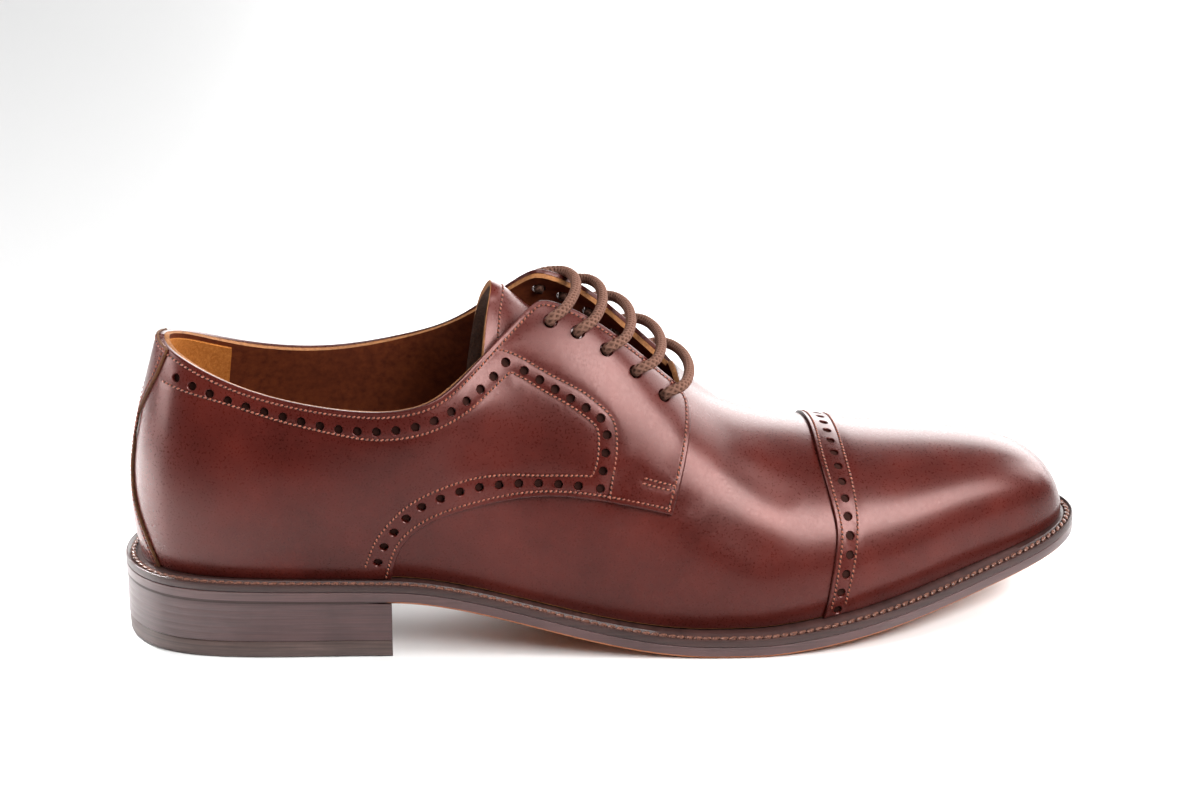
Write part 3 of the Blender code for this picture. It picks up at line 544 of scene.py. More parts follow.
# Soft troughs and ridges where a shoe like this gives, in rows and girth of the pattern, and metres.
creases = [
    dict(start=(5.66, 0.30), end=(6.20, 0.43), depth=0.00070, width=0.0036),
    dict(start=(6.30, 0.33), end=(6.72, 0.42), depth=0.00035, width=0.0030),
    dict(start=(6.75, 0.38), end=(7.55, 0.26), depth=0.00045, width=0.0060),
    dict(start=(7.02, 0.66), end=(7.72, 0.52), depth=0.00045, width=0.0050),
    dict(start=(6.90, 0.90), end=(7.45, 1.30), depth=0.00040, width=0.0060),
    dict(start=(4.00, 0.56), end=(5.25, 0.31), depth=0.00045, width=0.0075),
    dict(start=(1.95, 0.74), end=(2.75, 0.64), depth=0.00040, width=0.0060),
    dict(start=(5.70, 1.69), end=(6.25, 1.58), depth=0.00060, width=0.0040),
    dict(start=(6.80, 1.62), end=(7.55, 1.73), depth=0.00045, width=0.0060),
    dict(start=(4.10, 1.46), end=(5.20, 1.66), depth=0.00045, width=0.0075)]


def reliefOf(points, seams):
    # how far a seam or crease draws the leather in
    depth = np.zeros(len(points))
    if len(seams):
        tree = treeOf(seams)
        distances = np.array([tree.find(p)[2] for p in points])
        depth -= 0.00020 * np.exp(-(distances / 0.0008) ** 2)
    share = np.linspace(0, 1, 30)
    for crease in creases:
        line = onShoe(*np.linspace(crease["start"], crease["end"], len(share)).T)
        gaps = np.linalg.norm(points[:, None] - line[None], axis=-1)
        fade = np.sin(math.pi * share[gaps.argmin(1)]) ** 0.5
        distance = gaps.min(1) / crease["width"]
        depth -= crease["depth"] * fade * (np.exp(-distance ** 2) - 0.4 * np.exp(-(distance - 1.6) ** 2))
    return depth


def cutPanel(name, border, low, high, materials, holes=(), seams=(), lay=onShoe, pitch=0.0022,
             rounding=0.0004, openAt=(), scale=patternScale):
    # materials: outside, inside, cut edge, wall of the holes
    flatBorder = np.asarray(border) * scale
    flatBorder = flatBorder[np.linalg.norm(np.roll(flatBorder, -1, axis=0) - flatBorder, axis=1) > 2e-5]
    opened = np.zeros(len(flatBorder), dtype=bool)
    for end in openAt:
        opened |= np.abs(flatBorder[:, 0] - end * scale[0]) < 1e-9
    rings = []
    for turn in (0.0, math.pi / 6, math.pi / 3, math.pi / 2):
        ring = insetBorder(flatBorder, rounding * (1.0 - math.cos(turn)))
        ring[opened, 0] = flatBorder[opened, 0]
        rings.append((ring, high - rounding * (1.0 - math.sin(turn))))
    topBorder = rings.pop()[0]
    holeRings = [ringAround(lay, np.array(spot), radius) * scale for spot, radius in holes]
    topRings = [ringAround(lay, np.array(spot), radius + rounding * 0.5) * scale for spot, radius in holes]
    extra, seamPoints = [], []
    for seam in seams:
        dense = evenly(lay, seam, spacing=0.0011)
        seamPoints.append(lay(dense[:, 0], dense[:, 1], 0.0))
        extra += [shiftLine(lay, dense, shift) * scale for shift in (-0.0009, 0.0, 0.0009)]
    extra = np.concatenate(extra + [insetBorder(topBorder, 0.0004)[~opened][::2]])
    extra = extra[insideLoop(extra, insetBorder(topBorder, 0.00025))]
    for ring in topRings:
        middle = ring.mean(0)
        extra = extra[~insideLoop(extra, middle + (ring - middle) * 1.25)]
    top, topTriangles, topLoops = flatSheet(topBorder, pitch, topRings, thinned(extra, 0.0003))
    under, underTriangles, underLoops = flatSheet(flatBorder, pitch * 1.5, holeRings)
    underLoops = [[i + len(top) for i in loop] for loop in underLoops]
    flats, heights = [top, under], [np.full(len(top), high), np.full(len(under), low)]

    def addRing(ring, height):
        start = sum(len(part) for part in flats)
        flats.append(ring)
        heights.append(np.full(len(ring), height))
        return list(range(start, start + len(ring)))

    faces = [tuple(t) for t in topTriangles] + [tuple(i + len(top) for i in t[::-1]) for t in underTriangles]
    slots = [0] * len(topTriangles) + [1] * len(underTriangles)
    loops = [underLoops[0]] + [addRing(*ring) for ring in rings] + [topLoops[0]]
    for lower, upper in zip(loops[:-1], loops[1:]):
        for i in range(len(flatBorder)):
            j = (i + 1) % len(flatBorder)
            if not (opened[i] and opened[j]):
                faces.append((lower[i], lower[j], upper[j], upper[i]))
                slots.append(2)
    for ring, underLoop, topLoop in zip(holeRings, underLoops[1:], topLoops[1:]):
        middle = addRing(ring, high - rounding * 0.6)
        for lower, upper, part in ((underLoop, middle, 3), (middle, topLoop, 0)):
            for i in range(len(ring)):
                j = (i + 1) % len(ring)
                faces.append((lower[j], lower[i], upper[i], upper[j]))
                slots.append(part)
    flat, height = np.concatenate(flats) / scale, np.concatenate(heights)
    relief = reliefOf(lay(flat[:, 0], flat[:, 1], 0.0), np.concatenate(seamPoints) if seamPoints else [])
    relief = np.where((np.arange(len(flat)) < len(top)) | (height > low), relief, 0.0)
    return finishPiece(name, lay(flat[:, 0], flat[:, 1], height + relief), faces, slots, materials)


# Finishes. Every colour is linear.
def newMaterial(name, rough, spec=0.5):
    material = bpy.data.materials.new(name)
    material.use_nodes = True
    tree = material.node_tree
    shader = tree.nodes["Principled BSDF"]
    shader.inputs["Roughness"].default_value = rough
    shader.inputs["Specular IOR Level"].default_value = spec
    coords = tree.nodes.new("ShaderNodeTexCoord")
    return material, tree, shader, coords


def noise(tree, coords, scale, detail, rough, stretch=None):
    source = coords.outputs["Object"]
    if stretch:
        mapping = tree.nodes.new("ShaderNodeMapping")
        mapping.inputs["Scale"].default_value = stretch
        tree.links.new(source, mapping.inputs["Vector"])
        source = mapping.outputs["Vector"]
    node = tree.nodes.new("ShaderNodeTexNoise")
    node.inputs["Scale"].default_value = scale
    node.inputs["Detail"].default_value = detail
    node.inputs["Roughness"].default_value = rough
    tree.links.new(source, node.inputs["Vector"])
    return node.outputs["Fac"]


def ramp(tree, factor, stops):
    node = tree.nodes.new("ShaderNodeValToRGB")
    while len(node.color_ramp.elements) < len(stops):
        node.color_ramp.elements.new(0.5)
    for element, (position, colour) in zip(node.color_ramp.elements, stops):
        element.position = position
        element.color = (*colour, 1.0)
    tree.links.new(factor, node.inputs["Fac"])
    return node.outputs["Color"]


def blendColours(tree, factor, first, second):
    node = tree.nodes.new("ShaderNodeMix")
    node.data_type = "RGBA"
    for value, socket in ((factor, node.inputs[0]), (first, node.inputs[6]), (second, node.inputs[7])):
        if isinstance(value, (int, float)):
            socket.default_value = value
        elif isinstance(value, tuple):
            socket.default_value = (*value, 1.0)
        else:
            tree.links.new(value, socket)
    return node.outputs[2]


def between(tree, factor, low, high, fromLow=0.0, fromHigh=1.0):
    node = tree.nodes.new("ShaderNodeMapRange")
    node.inputs["From Min"].default_value = fromLow
    node.inputs["From Max"].default_value = fromHigh
    node.inputs["To Min"].default_value = low
    node.inputs["To Max"].default_value = high
    tree.links.new(factor, node.inputs["Value"])
    return node.outputs["Result"]


def bumps(tree, shader, layers):
    normal = None
    for factor, distance, strength in layers:
        node = tree.nodes.new("ShaderNodeBump")
        node.inputs["Distance"].default_value = distance
        node.inputs["Strength"].default_value = strength
        tree.links.new(factor, node.inputs["Height"])
        if normal is not None:
            tree.links.new(normal, node.inputs["Normal"])
        normal = node.outputs["Normal"]
    tree.links.new(normal, shader.inputs["Normal"])


calf = dict(dark=(0.032, 0.0036, 0.0024), middle=(0.053, 0.0062, 0.0042), light=(0.084, 0.0118, 0.0080),
            sheenTint=(1.0, 0.62, 0.58), rough=0.30, coat=0.05, coatRough=0.20, grain=0.00005, grainScale=430.0)


def polishedCalf(name, tint=1.0):
    material, tree, shader, coords = newMaterial(name, calf["rough"])
    broad = noise(tree, coords, 38.0, 5.0, 0.6)
    fine = noise(tree, coords, 1500.0, 2.0, 0.5)
    speck = noise(tree, coords, calf["grainScale"], 2.0, 0.5)
    dark, middle, light = (tuple(c * tint for c in calf[key]) for key in ("dark", "middle", "light"))
    colour = ramp(tree, broad, [(0.30, dark), (0.50, middle), (0.72, light)])
    colour = blendColours(tree, between(tree, fine, 0.04, 0.32, 0.35, 0.75), colour, light)
    tree.links.new(colour, shader.inputs["Base Color"])
    tree.links.new(between(tree, fine, calf["rough"] - 0.05, calf["rough"] + 0.07, 0.3, 0.7),
                   shader.inputs["Roughness"])
    shader.inputs["Specular Tint"].default_value = (*calf["sheenTint"], 1.0)
    shader.inputs["Coat Weight"].default_value = calf["coat"]
    shader.inputs["Coat Roughness"].default_value = calf["coatRough"]
    bumps(tree, shader, [(speck, calf["grain"], 0.25)])
    return material


def fibrous(name, stops, scale, rough, distance=0.0002, strength=0.5, stretch=None, sheen=0.0, shine=0.3,
            shadeBehind=None):
    material, tree, shader, coords = newMaterial(name, rough, shine)
    grain = noise(tree, coords, scale, 6.0, 0.65, stretch=stretch)
    broad = noise(tree, coords, 55.0, 3.0, 0.5)
    colour = ramp(tree, grain, stops)
    colour = blendColours(tree, between(tree, broad, 0.0, 0.45, 0.35, 0.7), colour, stops[0][1])
    # painted shade: behind the given length the colour turns dark, under the heel stack and in the corner at its
    # breast
    if shadeBehind is not None:
        ahead = tree.nodes.new("ShaderNodeSeparateXYZ")
        tree.links.new(coords.outputs["Object"], ahead.inputs["Vector"])
        colour = blendColours(tree, between(tree, ahead.outputs["X"], 0.0, 1.0, shadeBehind, shadeBehind + 0.004),
                              (0.040, 0.022, 0.020), colour)
    tree.links.new(colour, shader.inputs["Base Color"])
    if sheen:
        shader.inputs["Sheen Weight"].default_value = sheen
        shader.inputs["Sheen Roughness"].default_value = 0.5
    bumps(tree, shader, [(grain, distance, strength)])
    return material


def laceCotton(name):
    material, tree, shader, coords = newMaterial(name, 0.85, 0.12)
    braidShade = tree.nodes.new("ShaderNodeAttribute")
    braidShade.attribute_name = "braidShade"
    fibre = noise(tree, coords, 2600.0, 2.0, 0.5)
    # painted shade: dark in the grooves between the braid's strands and where the cord runs into the eyelets, light
    # on the strands
    colour = ramp(tree, braidShade.outputs["Fac"], [(0.0, (0.018, 0.007, 0.004)), (0.45, (0.085, 0.036, 0.024)),
                                               (1.0, (0.185, 0.092, 0.066))])
    colour = blendColours(tree, between(tree, fibre, 0.0, 0.4, 0.4, 0.8), colour, (0.26, 0.14, 0.105))
    tree.links.new(colour, shader.inputs["Base Color"])
    bumps(tree, shader, [(fibre, 0.0001, 0.5)])
    return material


def threadFinish(name, dark, light, rough=0.5):
    material, tree, shader, coords = newMaterial(name, rough)
    twist = noise(tree, coords, 1800.0, 2.0, 0.5)
    tree.links.new(ramp(tree, twist, [(0.3, dark), (0.7, light)]), shader.inputs["Base Color"])
    bumps(tree, shader, [(twist, 0.0001, 0.4)])
    return material


def burnishedEdge(name, dark, light, rough, levels=26.0, relief=0.4):
    # sole and heel edges: fine level lines and a waxed gloss
    material, tree, shader, coords = newMaterial(name, rough)
    lines = noise(tree, coords, 60.0, 6.0, 0.7, stretch=(0.5, 0.5, levels))
    cloud = noise(tree, coords, 70.0, 4.0, 0.6)
    colour = ramp(tree, lines, [(0.30, dark), (0.62, light)])
    colour = blendColours(tree, between(tree, cloud, 0.0, 0.5, 0.4, 0.7), colour, dark)
    tree.links.new(colour, shader.inputs["Base Color"])
    shader.inputs["Coat Weight"].default_value = 0.2
    shader.inputs["Coat Roughness"].default_value = 0.3
    bumps(tree, shader, [(lines, 0.0002, relief)])
    return material


calfLeather = polishedCalf("calf_leather")
calfEdge = polishedCalf("calf_leather_edge", 0.75)
rawEdge = fibrous("raw_leather_edge", [(0.25, (0.13, 0.045, 0.014)), (0.6, (0.36, 0.15, 0.050))], 900.0, 0.8)
strapEdgeLeather = fibrous("strap_cut_edge", [(0.25, (0.045, 0.015, 0.006)), (0.6, (0.15, 0.060, 0.022))],
                           900.0, 0.8)
lining = fibrous("lining_leather", [(0.30, (0.070, 0.0120, 0.0040)), (0.7, (0.150, 0.034, 0.0095))], 420.0, 0.85,
                 0.00012, 0.35, shine=0.15)
gripSuede = fibrous("heel_grip_suede", [(0.30, (0.30, 0.090, 0.016)), (0.7, (0.56, 0.21, 0.048))], 1100.0, 0.95,
                    0.00025, 0.6, shine=0.1)
darkSuede = fibrous("tongue_suede", [(0.30, (0.110, 0.055, 0.038)), (0.7, (0.230, 0.135, 0.095))], 1200.0, 0.95,
                    0.0003, 0.7, sheen=0.2)
insoleLeather = fibrous("insole_leather", [(0.30, (0.16, 0.065, 0.026)), (0.7, (0.30, 0.13, 0.055))], 380.0, 0.6,
                        0.0001, 0.3)
# the sole's bottom carries painted shade under the heel stack
naturalSole = fibrous("natural_sole_leather", [(0.30, (0.30, 0.085, 0.028)), (0.7, (0.52, 0.18, 0.065))], 260.0, 0.5,
                      0.0001, 0.3, shadeBehind=soleStart + shoe["heelLength"] - 0.002)
weltLeather = burnishedEdge("welt_leather", (0.018, 0.0065, 0.0058), (0.055, 0.0225, 0.0190), 0.42)
soleEdge = burnishedEdge("sole_edge_leather", (0.042, 0.0190, 0.0185), (0.112, 0.053, 0.051), 0.34, 70.0, 0.14)
heelEdge = burnishedEdge("heel_stack_leather", (0.036, 0.0160, 0.0155), (0.092, 0.044, 0.043), 0.38, 70.0, 0.14)
liftRubber = burnishedEdge("top_lift_rubber", (0.034, 0.0190, 0.0160), (0.105, 0.062, 0.054), 0.50)
copperThread = threadFinish("copper_thread", (0.12, 0.026, 0.013), (0.36, 0.100, 0.054))
weltThread = threadFinish("welt_thread", (0.030, 0.011, 0.008), (0.25, 0.110, 0.075), 0.38)
# painted shade in the needle holes between the stitches
needleShade = threadFinish("needle_hole_shade", (0.010, 0.003, 0.002), (0.016, 0.006, 0.004), 0.9)
# painted shade for the bottoms of the punched holes
holeShade = fibrous("hole_painted_shade", [(0.3, (0.018, 0.0052, 0.0036)), (0.7, (0.036, 0.0105, 0.0070))],
                      900.0, 0.8, shine=0.1)
laceMaterial = laceCotton("lace_cotton")
print("materials ready")

# Eyelets, as in the solids, and the lace's path through them.
eyelets = dict(first=5.56, last=6.52, setbackTop=0.0070, setbackLow=0.0100, count=5, radius=0.0021)
eyeletSpots = {-1: [], 1: []}
for side, spots in eyeletSpots.items():
    for place, setback in zip(np.linspace(eyelets["first"], eyelets["last"], eyelets["count"]),
                              np.linspace(eyelets["setbackTop"], eyelets["setbackLow"], eyelets["count"])):
        edge = edgeUp(side, place)
        levels = np.linspace(edge, edge - 0.4, 81)
        run = lengthsAlong(lastPoint(side, np.full_like(levels, place), levels))
        spots.append((place, mirrored(side, float(np.interp(setback, run, levels)))))


def edgeLine(side, first, last, step=0.06):
    places = np.linspace(first, last, max(2, int(abs(last - first) / step) + 1))
    levels = np.array([edgeUp(side, place) for place in places])
    return np.stack([places, mirrored(side, levels)], axis=-1)


def spread(line, step=0.0011):
    # even points in pattern metres, with both ends kept
    run = lengthsAlong(line * patternScale)
    return pointsAt(np.linspace(0, run[-1], max(2, int(round(run[-1] / step)) + 1)), run, line)


def straight(*corners):
    return [np.array(pair) for pair in zip(corners[:-1], corners[1:])]


def chain(parts):
    # one closed outline from lines that meet end to end
    return np.concatenate([spread(parts[0])] + [spread(part)[1:] for part in parts[1:]])[:-1]


# Stitches: one low thread shape, copied along each row with its own place.
stitch = dict(pitch=0.00150, length=0.00122, width=0.00070, slant=0.42, sink=0.00012)
# the near-black disc of painted shade in each needle hole
needleShadeDisc = dict(sides=6, sink=0.00004, overlap=0.00022, depth=0.0002)
bpy.ops.object.select_all(action="DESELECT")
bpy.ops.mesh.primitive_uv_sphere_add(segments=6, ring_count=5, radius=1.0)
threadShape = bpy.context.object
threadVerts = np.array([tuple(v.co) for v in threadShape.data.vertices])[:, [2, 0, 1]]
threadFaces = [tuple(p.vertices) for p in threadShape.data.polygons]
bpy.data.objects.remove(threadShape)


def addThread(vertices, faces, middle, along, across, outward):
    start = len(vertices)
    local = threadVerts[:, :1] * along + threadVerts[:, 1:2] * across + threadVerts[:, 2:] * outward
    vertices += list(middle + local)
    faces += [tuple(start + i for i in face) for face in threadFaces]


def addDisc(vertices, faces, middle, along, across, down, sides):
    # a thin closed disc, with its lower rim moved down
    start = len(vertices)
    rim = [middle + math.cos(turn) * along + math.sin(turn) * across
           for turn in np.arange(sides) * 2 * math.pi / sides]
    vertices += rim + [point + down for point in rim]
    faces.append(tuple(start + i for i in range(sides)))
    faces.append(tuple(start + 2 * sides - 1 - i for i in range(sides)))
    for i in range(sides):
        j = (i + 1) % sides
        faces.append((start + j, start + i, start + sides + i, start + sides + j))


def sewRows(name, rows, lay=onShoe, height=panelHeight):
    vertices, faces, slots = [], [], []
    reach = (stitch["pitch"] - stitch["length"]) * 0.5 + needleShadeDisc["overlap"]
    for row in rows:
        spots = evenly(lay, row, spacing=stitch["pitch"], inset=stitch["pitch"] * 0.5)
        here, *_, normal = frameOn(lay, spots[:, 0], spots[:, 1], height)
        run = unit(np.gradient(here, axis=0))
        run = unit(run + stitch["slant"] * np.cross(normal, run))
        side = np.cross(normal, run)
        for k in range(len(spots)):
            addThread(vertices, faces, here[k] - normal[k] * stitch["sink"], run[k] * stitch["length"] / 2,
                      side[k] * stitch["width"] / 2, normal[k] * stitch["width"] * 0.5)
            slots += [0] * len(threadFaces)
            if k + 1 < len(spots):
                # painted shade: a near-black disc sunk into the needle hole between two stitches
                gap = (here[k] + here[k + 1]) / 2 - normal[k] * needleShadeDisc["sink"]
                addDisc(vertices, faces, gap, run[k] * reach, side[k] * stitch["width"] * 0.48,
                        -normal[k] * needleShadeDisc["depth"], needleShadeDisc["sides"])
                slots += [1] * (needleShadeDisc["sides"] + 2)
    return finishPiece(name, vertices, faces, slots, [copperThread, needleShade], 50, 1e-9)


def holeShadeDiscs(name, spots, height):
    # painted shade: a dark disc at the bottom of each punched hole, darker than the calf that lies there
    vertices, faces = [], []
    radius = quarter["holeRadius"] - 0.0001
    here, alongA, _, normal = frameOn(onShoe, *np.array(spots).T, height)
    for k, along in enumerate(unit(alongA)):
        across = np.cross(normal[k], along)
        addDisc(vertices, faces, here[k], radius * along, radius * across, -0.0002 * normal[k], 12)
    return finishPiece(name, vertices, faces, [0] * len(faces), [holeShade], 50, 1e-9)


# Quarters with their facings, holes and stitch rows.
quarter = dict(edgeStitch=0.0017, barTack=0.0016, holeRadius=0.00135, seam=0.006, cornerBend=0.0045,
               holeCounts=dict(toplineHoles=20, facingHoles=10, hemHoles=13))
panelLow = 0.00005
panelFinish = [calfLeather, rawEdge, calfEdge, calfEdge]
for side, label in ((-1, "lateral"), (1, "medial")):
    lines = {key: layLine(side, quarterLines[key]) for key in
             ("hem", "toplineHoles", "facingHoles", "hemHoles", "toplineLow", "facingOuter", "facingInner",
              "hemUpper", "barTack")}
    hem = lines["hem"][::-1]
    # the front is listed from its top down, and only what lies under the facing's edge is kept
    front = layLine(side, quarterLines["front"], 16)
    front = front[mirrored(side, front[:, 1]) < [edgeUp(side, place) for place in front[:, 0]]]
    edge = edgeLine(side, front[0, 0], quarter["seam"])
    upper = roundCorner(np.concatenate([front[::-1], edge]), len(front) - 1, quarter["cornerBend"])
    foot = np.array([[quarter["seam"], mirrored(side, 0.0)], [hem[0, 0], mirrored(side, 0.0)]])
    border = chain([foot, hem, upper, np.array([edge[-1], foot[0]])])
    if side > 0:
        border = border[::-1]
    punched = [spot for key, count in quarter["holeCounts"].items()
               for spot in evenly(onShoe, lines[key], count=count)]
    holes = [(spot, quarter["holeRadius"]) for spot in punched]
    holes += [(spot, eyelets["radius"]) for spot in eyeletSpots[side]]
    inward = 1.0 if side < 0 else -1.0
    edgeStitch = shiftLine(onShoe, spread(np.concatenate([hem, upper])), inward * quarter["edgeStitch"])
    barShift = shiftLine(onShoe, spread(lines["barTack"]), -inward * quarter["barTack"])
    rows = [edgeStitch, lines["toplineLow"], lines["facingOuter"],
            np.concatenate([lines["facingInner"], lines["hemUpper"]]), lines["barTack"], barShift]
    piece = cutPanel("quarter_%s_leather" % label, border, panelLow, panelHeight, panelFinish,
                     holes, rows)
    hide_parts("quarter_" + label)
    sewRows("quarter_%s_stitches" % label, rows)
    holeShadeDiscs("quarter_%s_hole_backing" % label, punched, 0.00030)
    print(piece.name, len(piece.data.polygons))

# Vamp and lining: one shell over the whole last, open at the collar and the throat.
nearThroat, farThroat = (edgeLine(side, 0.0, throatRow, 0.08) for side in (-1, 1))
toe = float(rowCount)
border = chain(straight((0.0, 0.0), (toe, 0.0), (toe, 2.0), (0.0, 2.0), farThroat[0]) + [farThroat]
               + straight(farThroat[-1], nearThroat[-1]) + [nearThroat[::-1]] + straight(nearThroat[0], (0.0, 0.0)))
holes = [(spot, eyelets["radius"] + 0.0002) for side in (-1, 1) for spot in eyeletSpots[side]]
vamp = cutPanel("vamp_and_lining", border, -shoe["wall"], 0.0, [calfLeather, lining, rawEdge, calfEdge],
                holes, pitch=0.0026, rounding=0.0003, openAt=(0.0, toe))
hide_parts("upper")
print(vamp.name, len(vamp.data.polygons))

# Toe cap.
cap = dict(rows=(7.4, 8.9), edgeStitch=0.0016, holeSpacing=0.0060, height=0.0010)
girths = np.linspace(0.0, 2.0, 90)
capEdge = crossLine(capLines["edge"], girths, *cap["rows"])
capHoles = crossLine(capLines["holes"], np.linspace(0.03, 1.97, 90), *cap["rows"])
capFront = crossLine(capLines["front"], girths, *cap["rows"])
border = chain(straight(capEdge[0], (toe, 0.0), (toe, 2.0), capEdge[-1]) + [capEdge[::-1]])
capStitch = shiftLine(onShoe, capEdge, -cap["edgeStitch"])
punched = list(evenly(onShoe, capHoles, spacing=cap["holeSpacing"]))
toeCap = cutPanel("toe_cap_leather", border, panelLow, cap["height"], panelFinish,
                  [(spot, quarter["holeRadius"]) for spot in punched], [capStitch, capFront], openAt=(toe,))
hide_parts("toe_cap")
sewRows("toe_cap_stitches", [capStitch[2:-2], capFront[2:-2]], height=cap["height"])
holeShadeDiscs("toe_cap_hole_backing", punched, 0.00025)
print(toeCap.name, len(toeCap.data.polygons))

# Back strap, on top of both quarters. Its places run from the outer side to the inner one.
strapHeight = panelHeight + 0.0010
strapEdge = []
for side in (-1, 1):
    line = crossLine(strapLine, mirrored(side, np.linspace(0.0, 1.0, 60) * 0.995), 0.02, 1.6)
    ups = mirrored(side, line[:, 1])
    below = ups < [edgeUp(side, place) for place in line[:, 0]]
    strapEdge.append(np.stack([-side * line[:, 0], ups], axis=-1)[below])


def collarAt(places, drop=0.0):
    return np.array([(place, edgeUp(-1 if place >= 0 else 1, place) - drop) for place in places])


nearEdge, farEdge = strapEdge
strapTop = collarAt(np.linspace(nearEdge[-1, 0], farEdge[-1, 0], 40))
border = chain(straight(farEdge[0], nearEdge[0]) + [nearEdge, strapTop, farEdge[::-1]])
strapRows = [shiftLine(onShoe, line, shift)
             for line, shift in ((nearEdge, 0.0013), (farEdge, -0.0013), (strapTop, 0.0013))]
strap = cutPanel("back_strap_leather", border, panelHeight + 0.0001, strapHeight,
                 [calfLeather, strapEdgeLeather, strapEdgeLeather, calfEdge], (), strapRows,
                 rounding=0.0003)
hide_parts("back_strap")
sewRows("back_strap_stitches", strapRows, height=strapHeight)

# Heel grip inside the collar.
gripSize = dict(row=1.85, foot=0.12, drop=0.02, thickness=0.0008)
row, foot = gripSize["row"], gripSize["foot"]
gripTop = collarAt(np.linspace(row, -row, 60), gripSize["drop"])
border = chain(straight((-row, foot), (row, foot), gripTop[0]) + [gripTop] + straight(gripTop[-1], (-row, foot)))
cutPanel("heel_grip", border, -shoe["wall"] - gripSize["thickness"], -shoe["wall"] + 0.0001, [gripSuede] * 4,
         rounding=0.0001)

# Tongue, with its raw edge and suede underside.
free, seat = tongueSize["freeEnd"], tongueSize["seat"]
border = chain(straight((free, -1.0), (seat, -1.0), (seat, 1.0), (free, 1.0), (free, -1.0)))
tongueRow = np.array([[tongueSize["stitchRow"], across] for across in np.linspace(-0.98, 0.98, 60)])
tongue = cutPanel("tongue_leather", border, 0.0, shoe["tongue"], [calfLeather, darkSuede, rawEdge, rawEdge],
                  (), [tongueRow], lay=onTongue, scale=np.array([0.0275, 0.0280]), rounding=0.0003)
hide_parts("tongue")
sewRows("tongue_stitches", [tongueRow], onTongue, shoe["tongue"])
print("upper done")

# Welt, sole and heel: loops around the outline.
loopPlaces = np.linspace(0.0, rowCount, 121)


def above(lift):
    return lambda x: soleHeight(x) + lift


def soleLoop(depth, reachShare=0.0, front=None):
    sides = []
    for side in (-1, 1):
        where = loopPlaces
        if front is not None:
            end = np.interp(front, outlinePoint(side, where, depth)[0], where)
            where = np.append(where[where < end - 0.03], end)
        inset = depth(where) if callable(depth) else depth
        inset = inset + reachShare * shoe["ballWidth"] * reachCurve(where)
        sides.append(np.stack(outlinePoint(side, where, inset)[:2], axis=-1))
    near, far = sides
    if front is None:
        return np.concatenate([near, far[1:-1][::-1]])
    share = np.linspace(0, 1, 21)[1:-1, None]
    breast = near[-1] * (1 - share) + far[-1] * share
    breast[:, 0] -= 0.0012 * np.sin(math.pi * share[:, 0])
    return np.concatenate([near, breast, far[1:][::-1]])


def sweepPiece(name, profile, materials, front=None, caps=None):
    # profile rows: inset, height over the sole or its function, share of the welt's reach, material index
    vertices, faces, slots, rings, heights, parts = [], [], [], [], [], []
    for row in profile:
        inset, height, share, part = (*row, 0, 0)[:4]
        loop = soleLoop(inset, share, front)
        heights.append(height if callable(height) else above(height))
        rings.append(range(len(vertices), len(vertices) + len(loop)))
        parts.append(part)
        vertices += [(x, y, float(heights[-1](x))) for x, y in loop]
    for k in range(len(rings) - 1 if caps else len(rings)):
        lower, upper = rings[k], rings[(k + 1) % len(rings)]
        for i in range(len(lower)):
            j = (i + 1) % len(lower)
            faces.append((lower[i], lower[j], upper[j], upper[i]))
            slots.append(parts[k])
    for k, part in zip((0, -1), caps or ()):
        sheet, triangles, loops = flatSheet(np.array([vertices[i][:2] for i in rings[k]]), 0.006)
        start = len(vertices)
        vertices += [(x, y, float(heights[k](x))) for x, y in sheet]
        faces += [tuple(start + i for i in triangle[::1 if k else -1]) for triangle in triangles]
        slots += [part] * len(triangles)
    return finishPiece(name, vertices, faces, slots, materials, 38, 2e-6)


soleTop = shoe["soleThickness"]
weltLow = soleTop + 0.00005
weltHigh = soleTop + shoe["gap"] + shoe["weltThickness"]
groove = weltHigh - 0.0007
welt = sweepPiece("welt_strip", [
    (0.00025, weltLow), (0.0, weltLow + 0.0002), (0.0, groove), (0.0002, weltHigh - 0.0001),
    (0.0005, weltHigh), (0.0008, weltHigh - 0.0002), (0.0010, groove, 0.06), (0.0010, groove, 0.30),
    (0.0010, weltHigh, 0.42), (0.0, weltHigh, 1.0), (0.0070, weltHigh, 1.0), (0.0070, weltLow, 1.0)],
    [weltLeather])
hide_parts("welt")


def bevelAhead(width):
    # the edge's bottom corner is cut only ahead of the heel
    return lambda where: 0.0001 + width * np.clip((where - 3.15) / 0.25, 0.0, 1.0)


outsole = sweepPiece("outsole_leather", [
    (bevelAhead(0.0010), 0.0, 0.0, 1), (bevelAhead(0.0003), 0.0004, 0.0, 1), (0.0, 0.0009),
    (0.0, soleTop - 0.0002), (0.00025, soleTop)], [soleEdge, naturalSole], caps=(1, 0))
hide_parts("outsole")

heelFront = soleStart + shoe["heelLength"]
liftHeight = shoe["liftThickness"]


def stackAt(share, extra=0.0):
    return lambda x: liftHeight + 0.0001 + (soleHeight(x) - 0.0001 - liftHeight) * share + extra


stackShares = [0.0, 0.21, 0.37, 0.60, 0.78, 1.0]
stackInset, stackGroove = 0.0003, 0.00004
profile = [(stackInset + 0.0002, stackAt(0.0))]
for low, high in zip(stackShares[:-1], stackShares[1:]):
    profile += [(stackInset, stackAt(low, 0.0002)), (stackInset, stackAt(high, -0.0002)),
                (stackInset + stackGroove, stackAt(high))]
stack = sweepPiece("heel_stack_layers", profile, [heelEdge], heelFront, (0, 0))
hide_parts("heel_stack")
lift = sweepPiece("heel_top_lift", [
    (0.0012, lambda x: 0.0), (0.0006, lambda x: 0.0005), (0.0004, lambda x: liftHeight - 0.0003),
    (0.0006, lambda x: liftHeight)], [liftRubber], heelFront, (0, 0))
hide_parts("heel_lift")

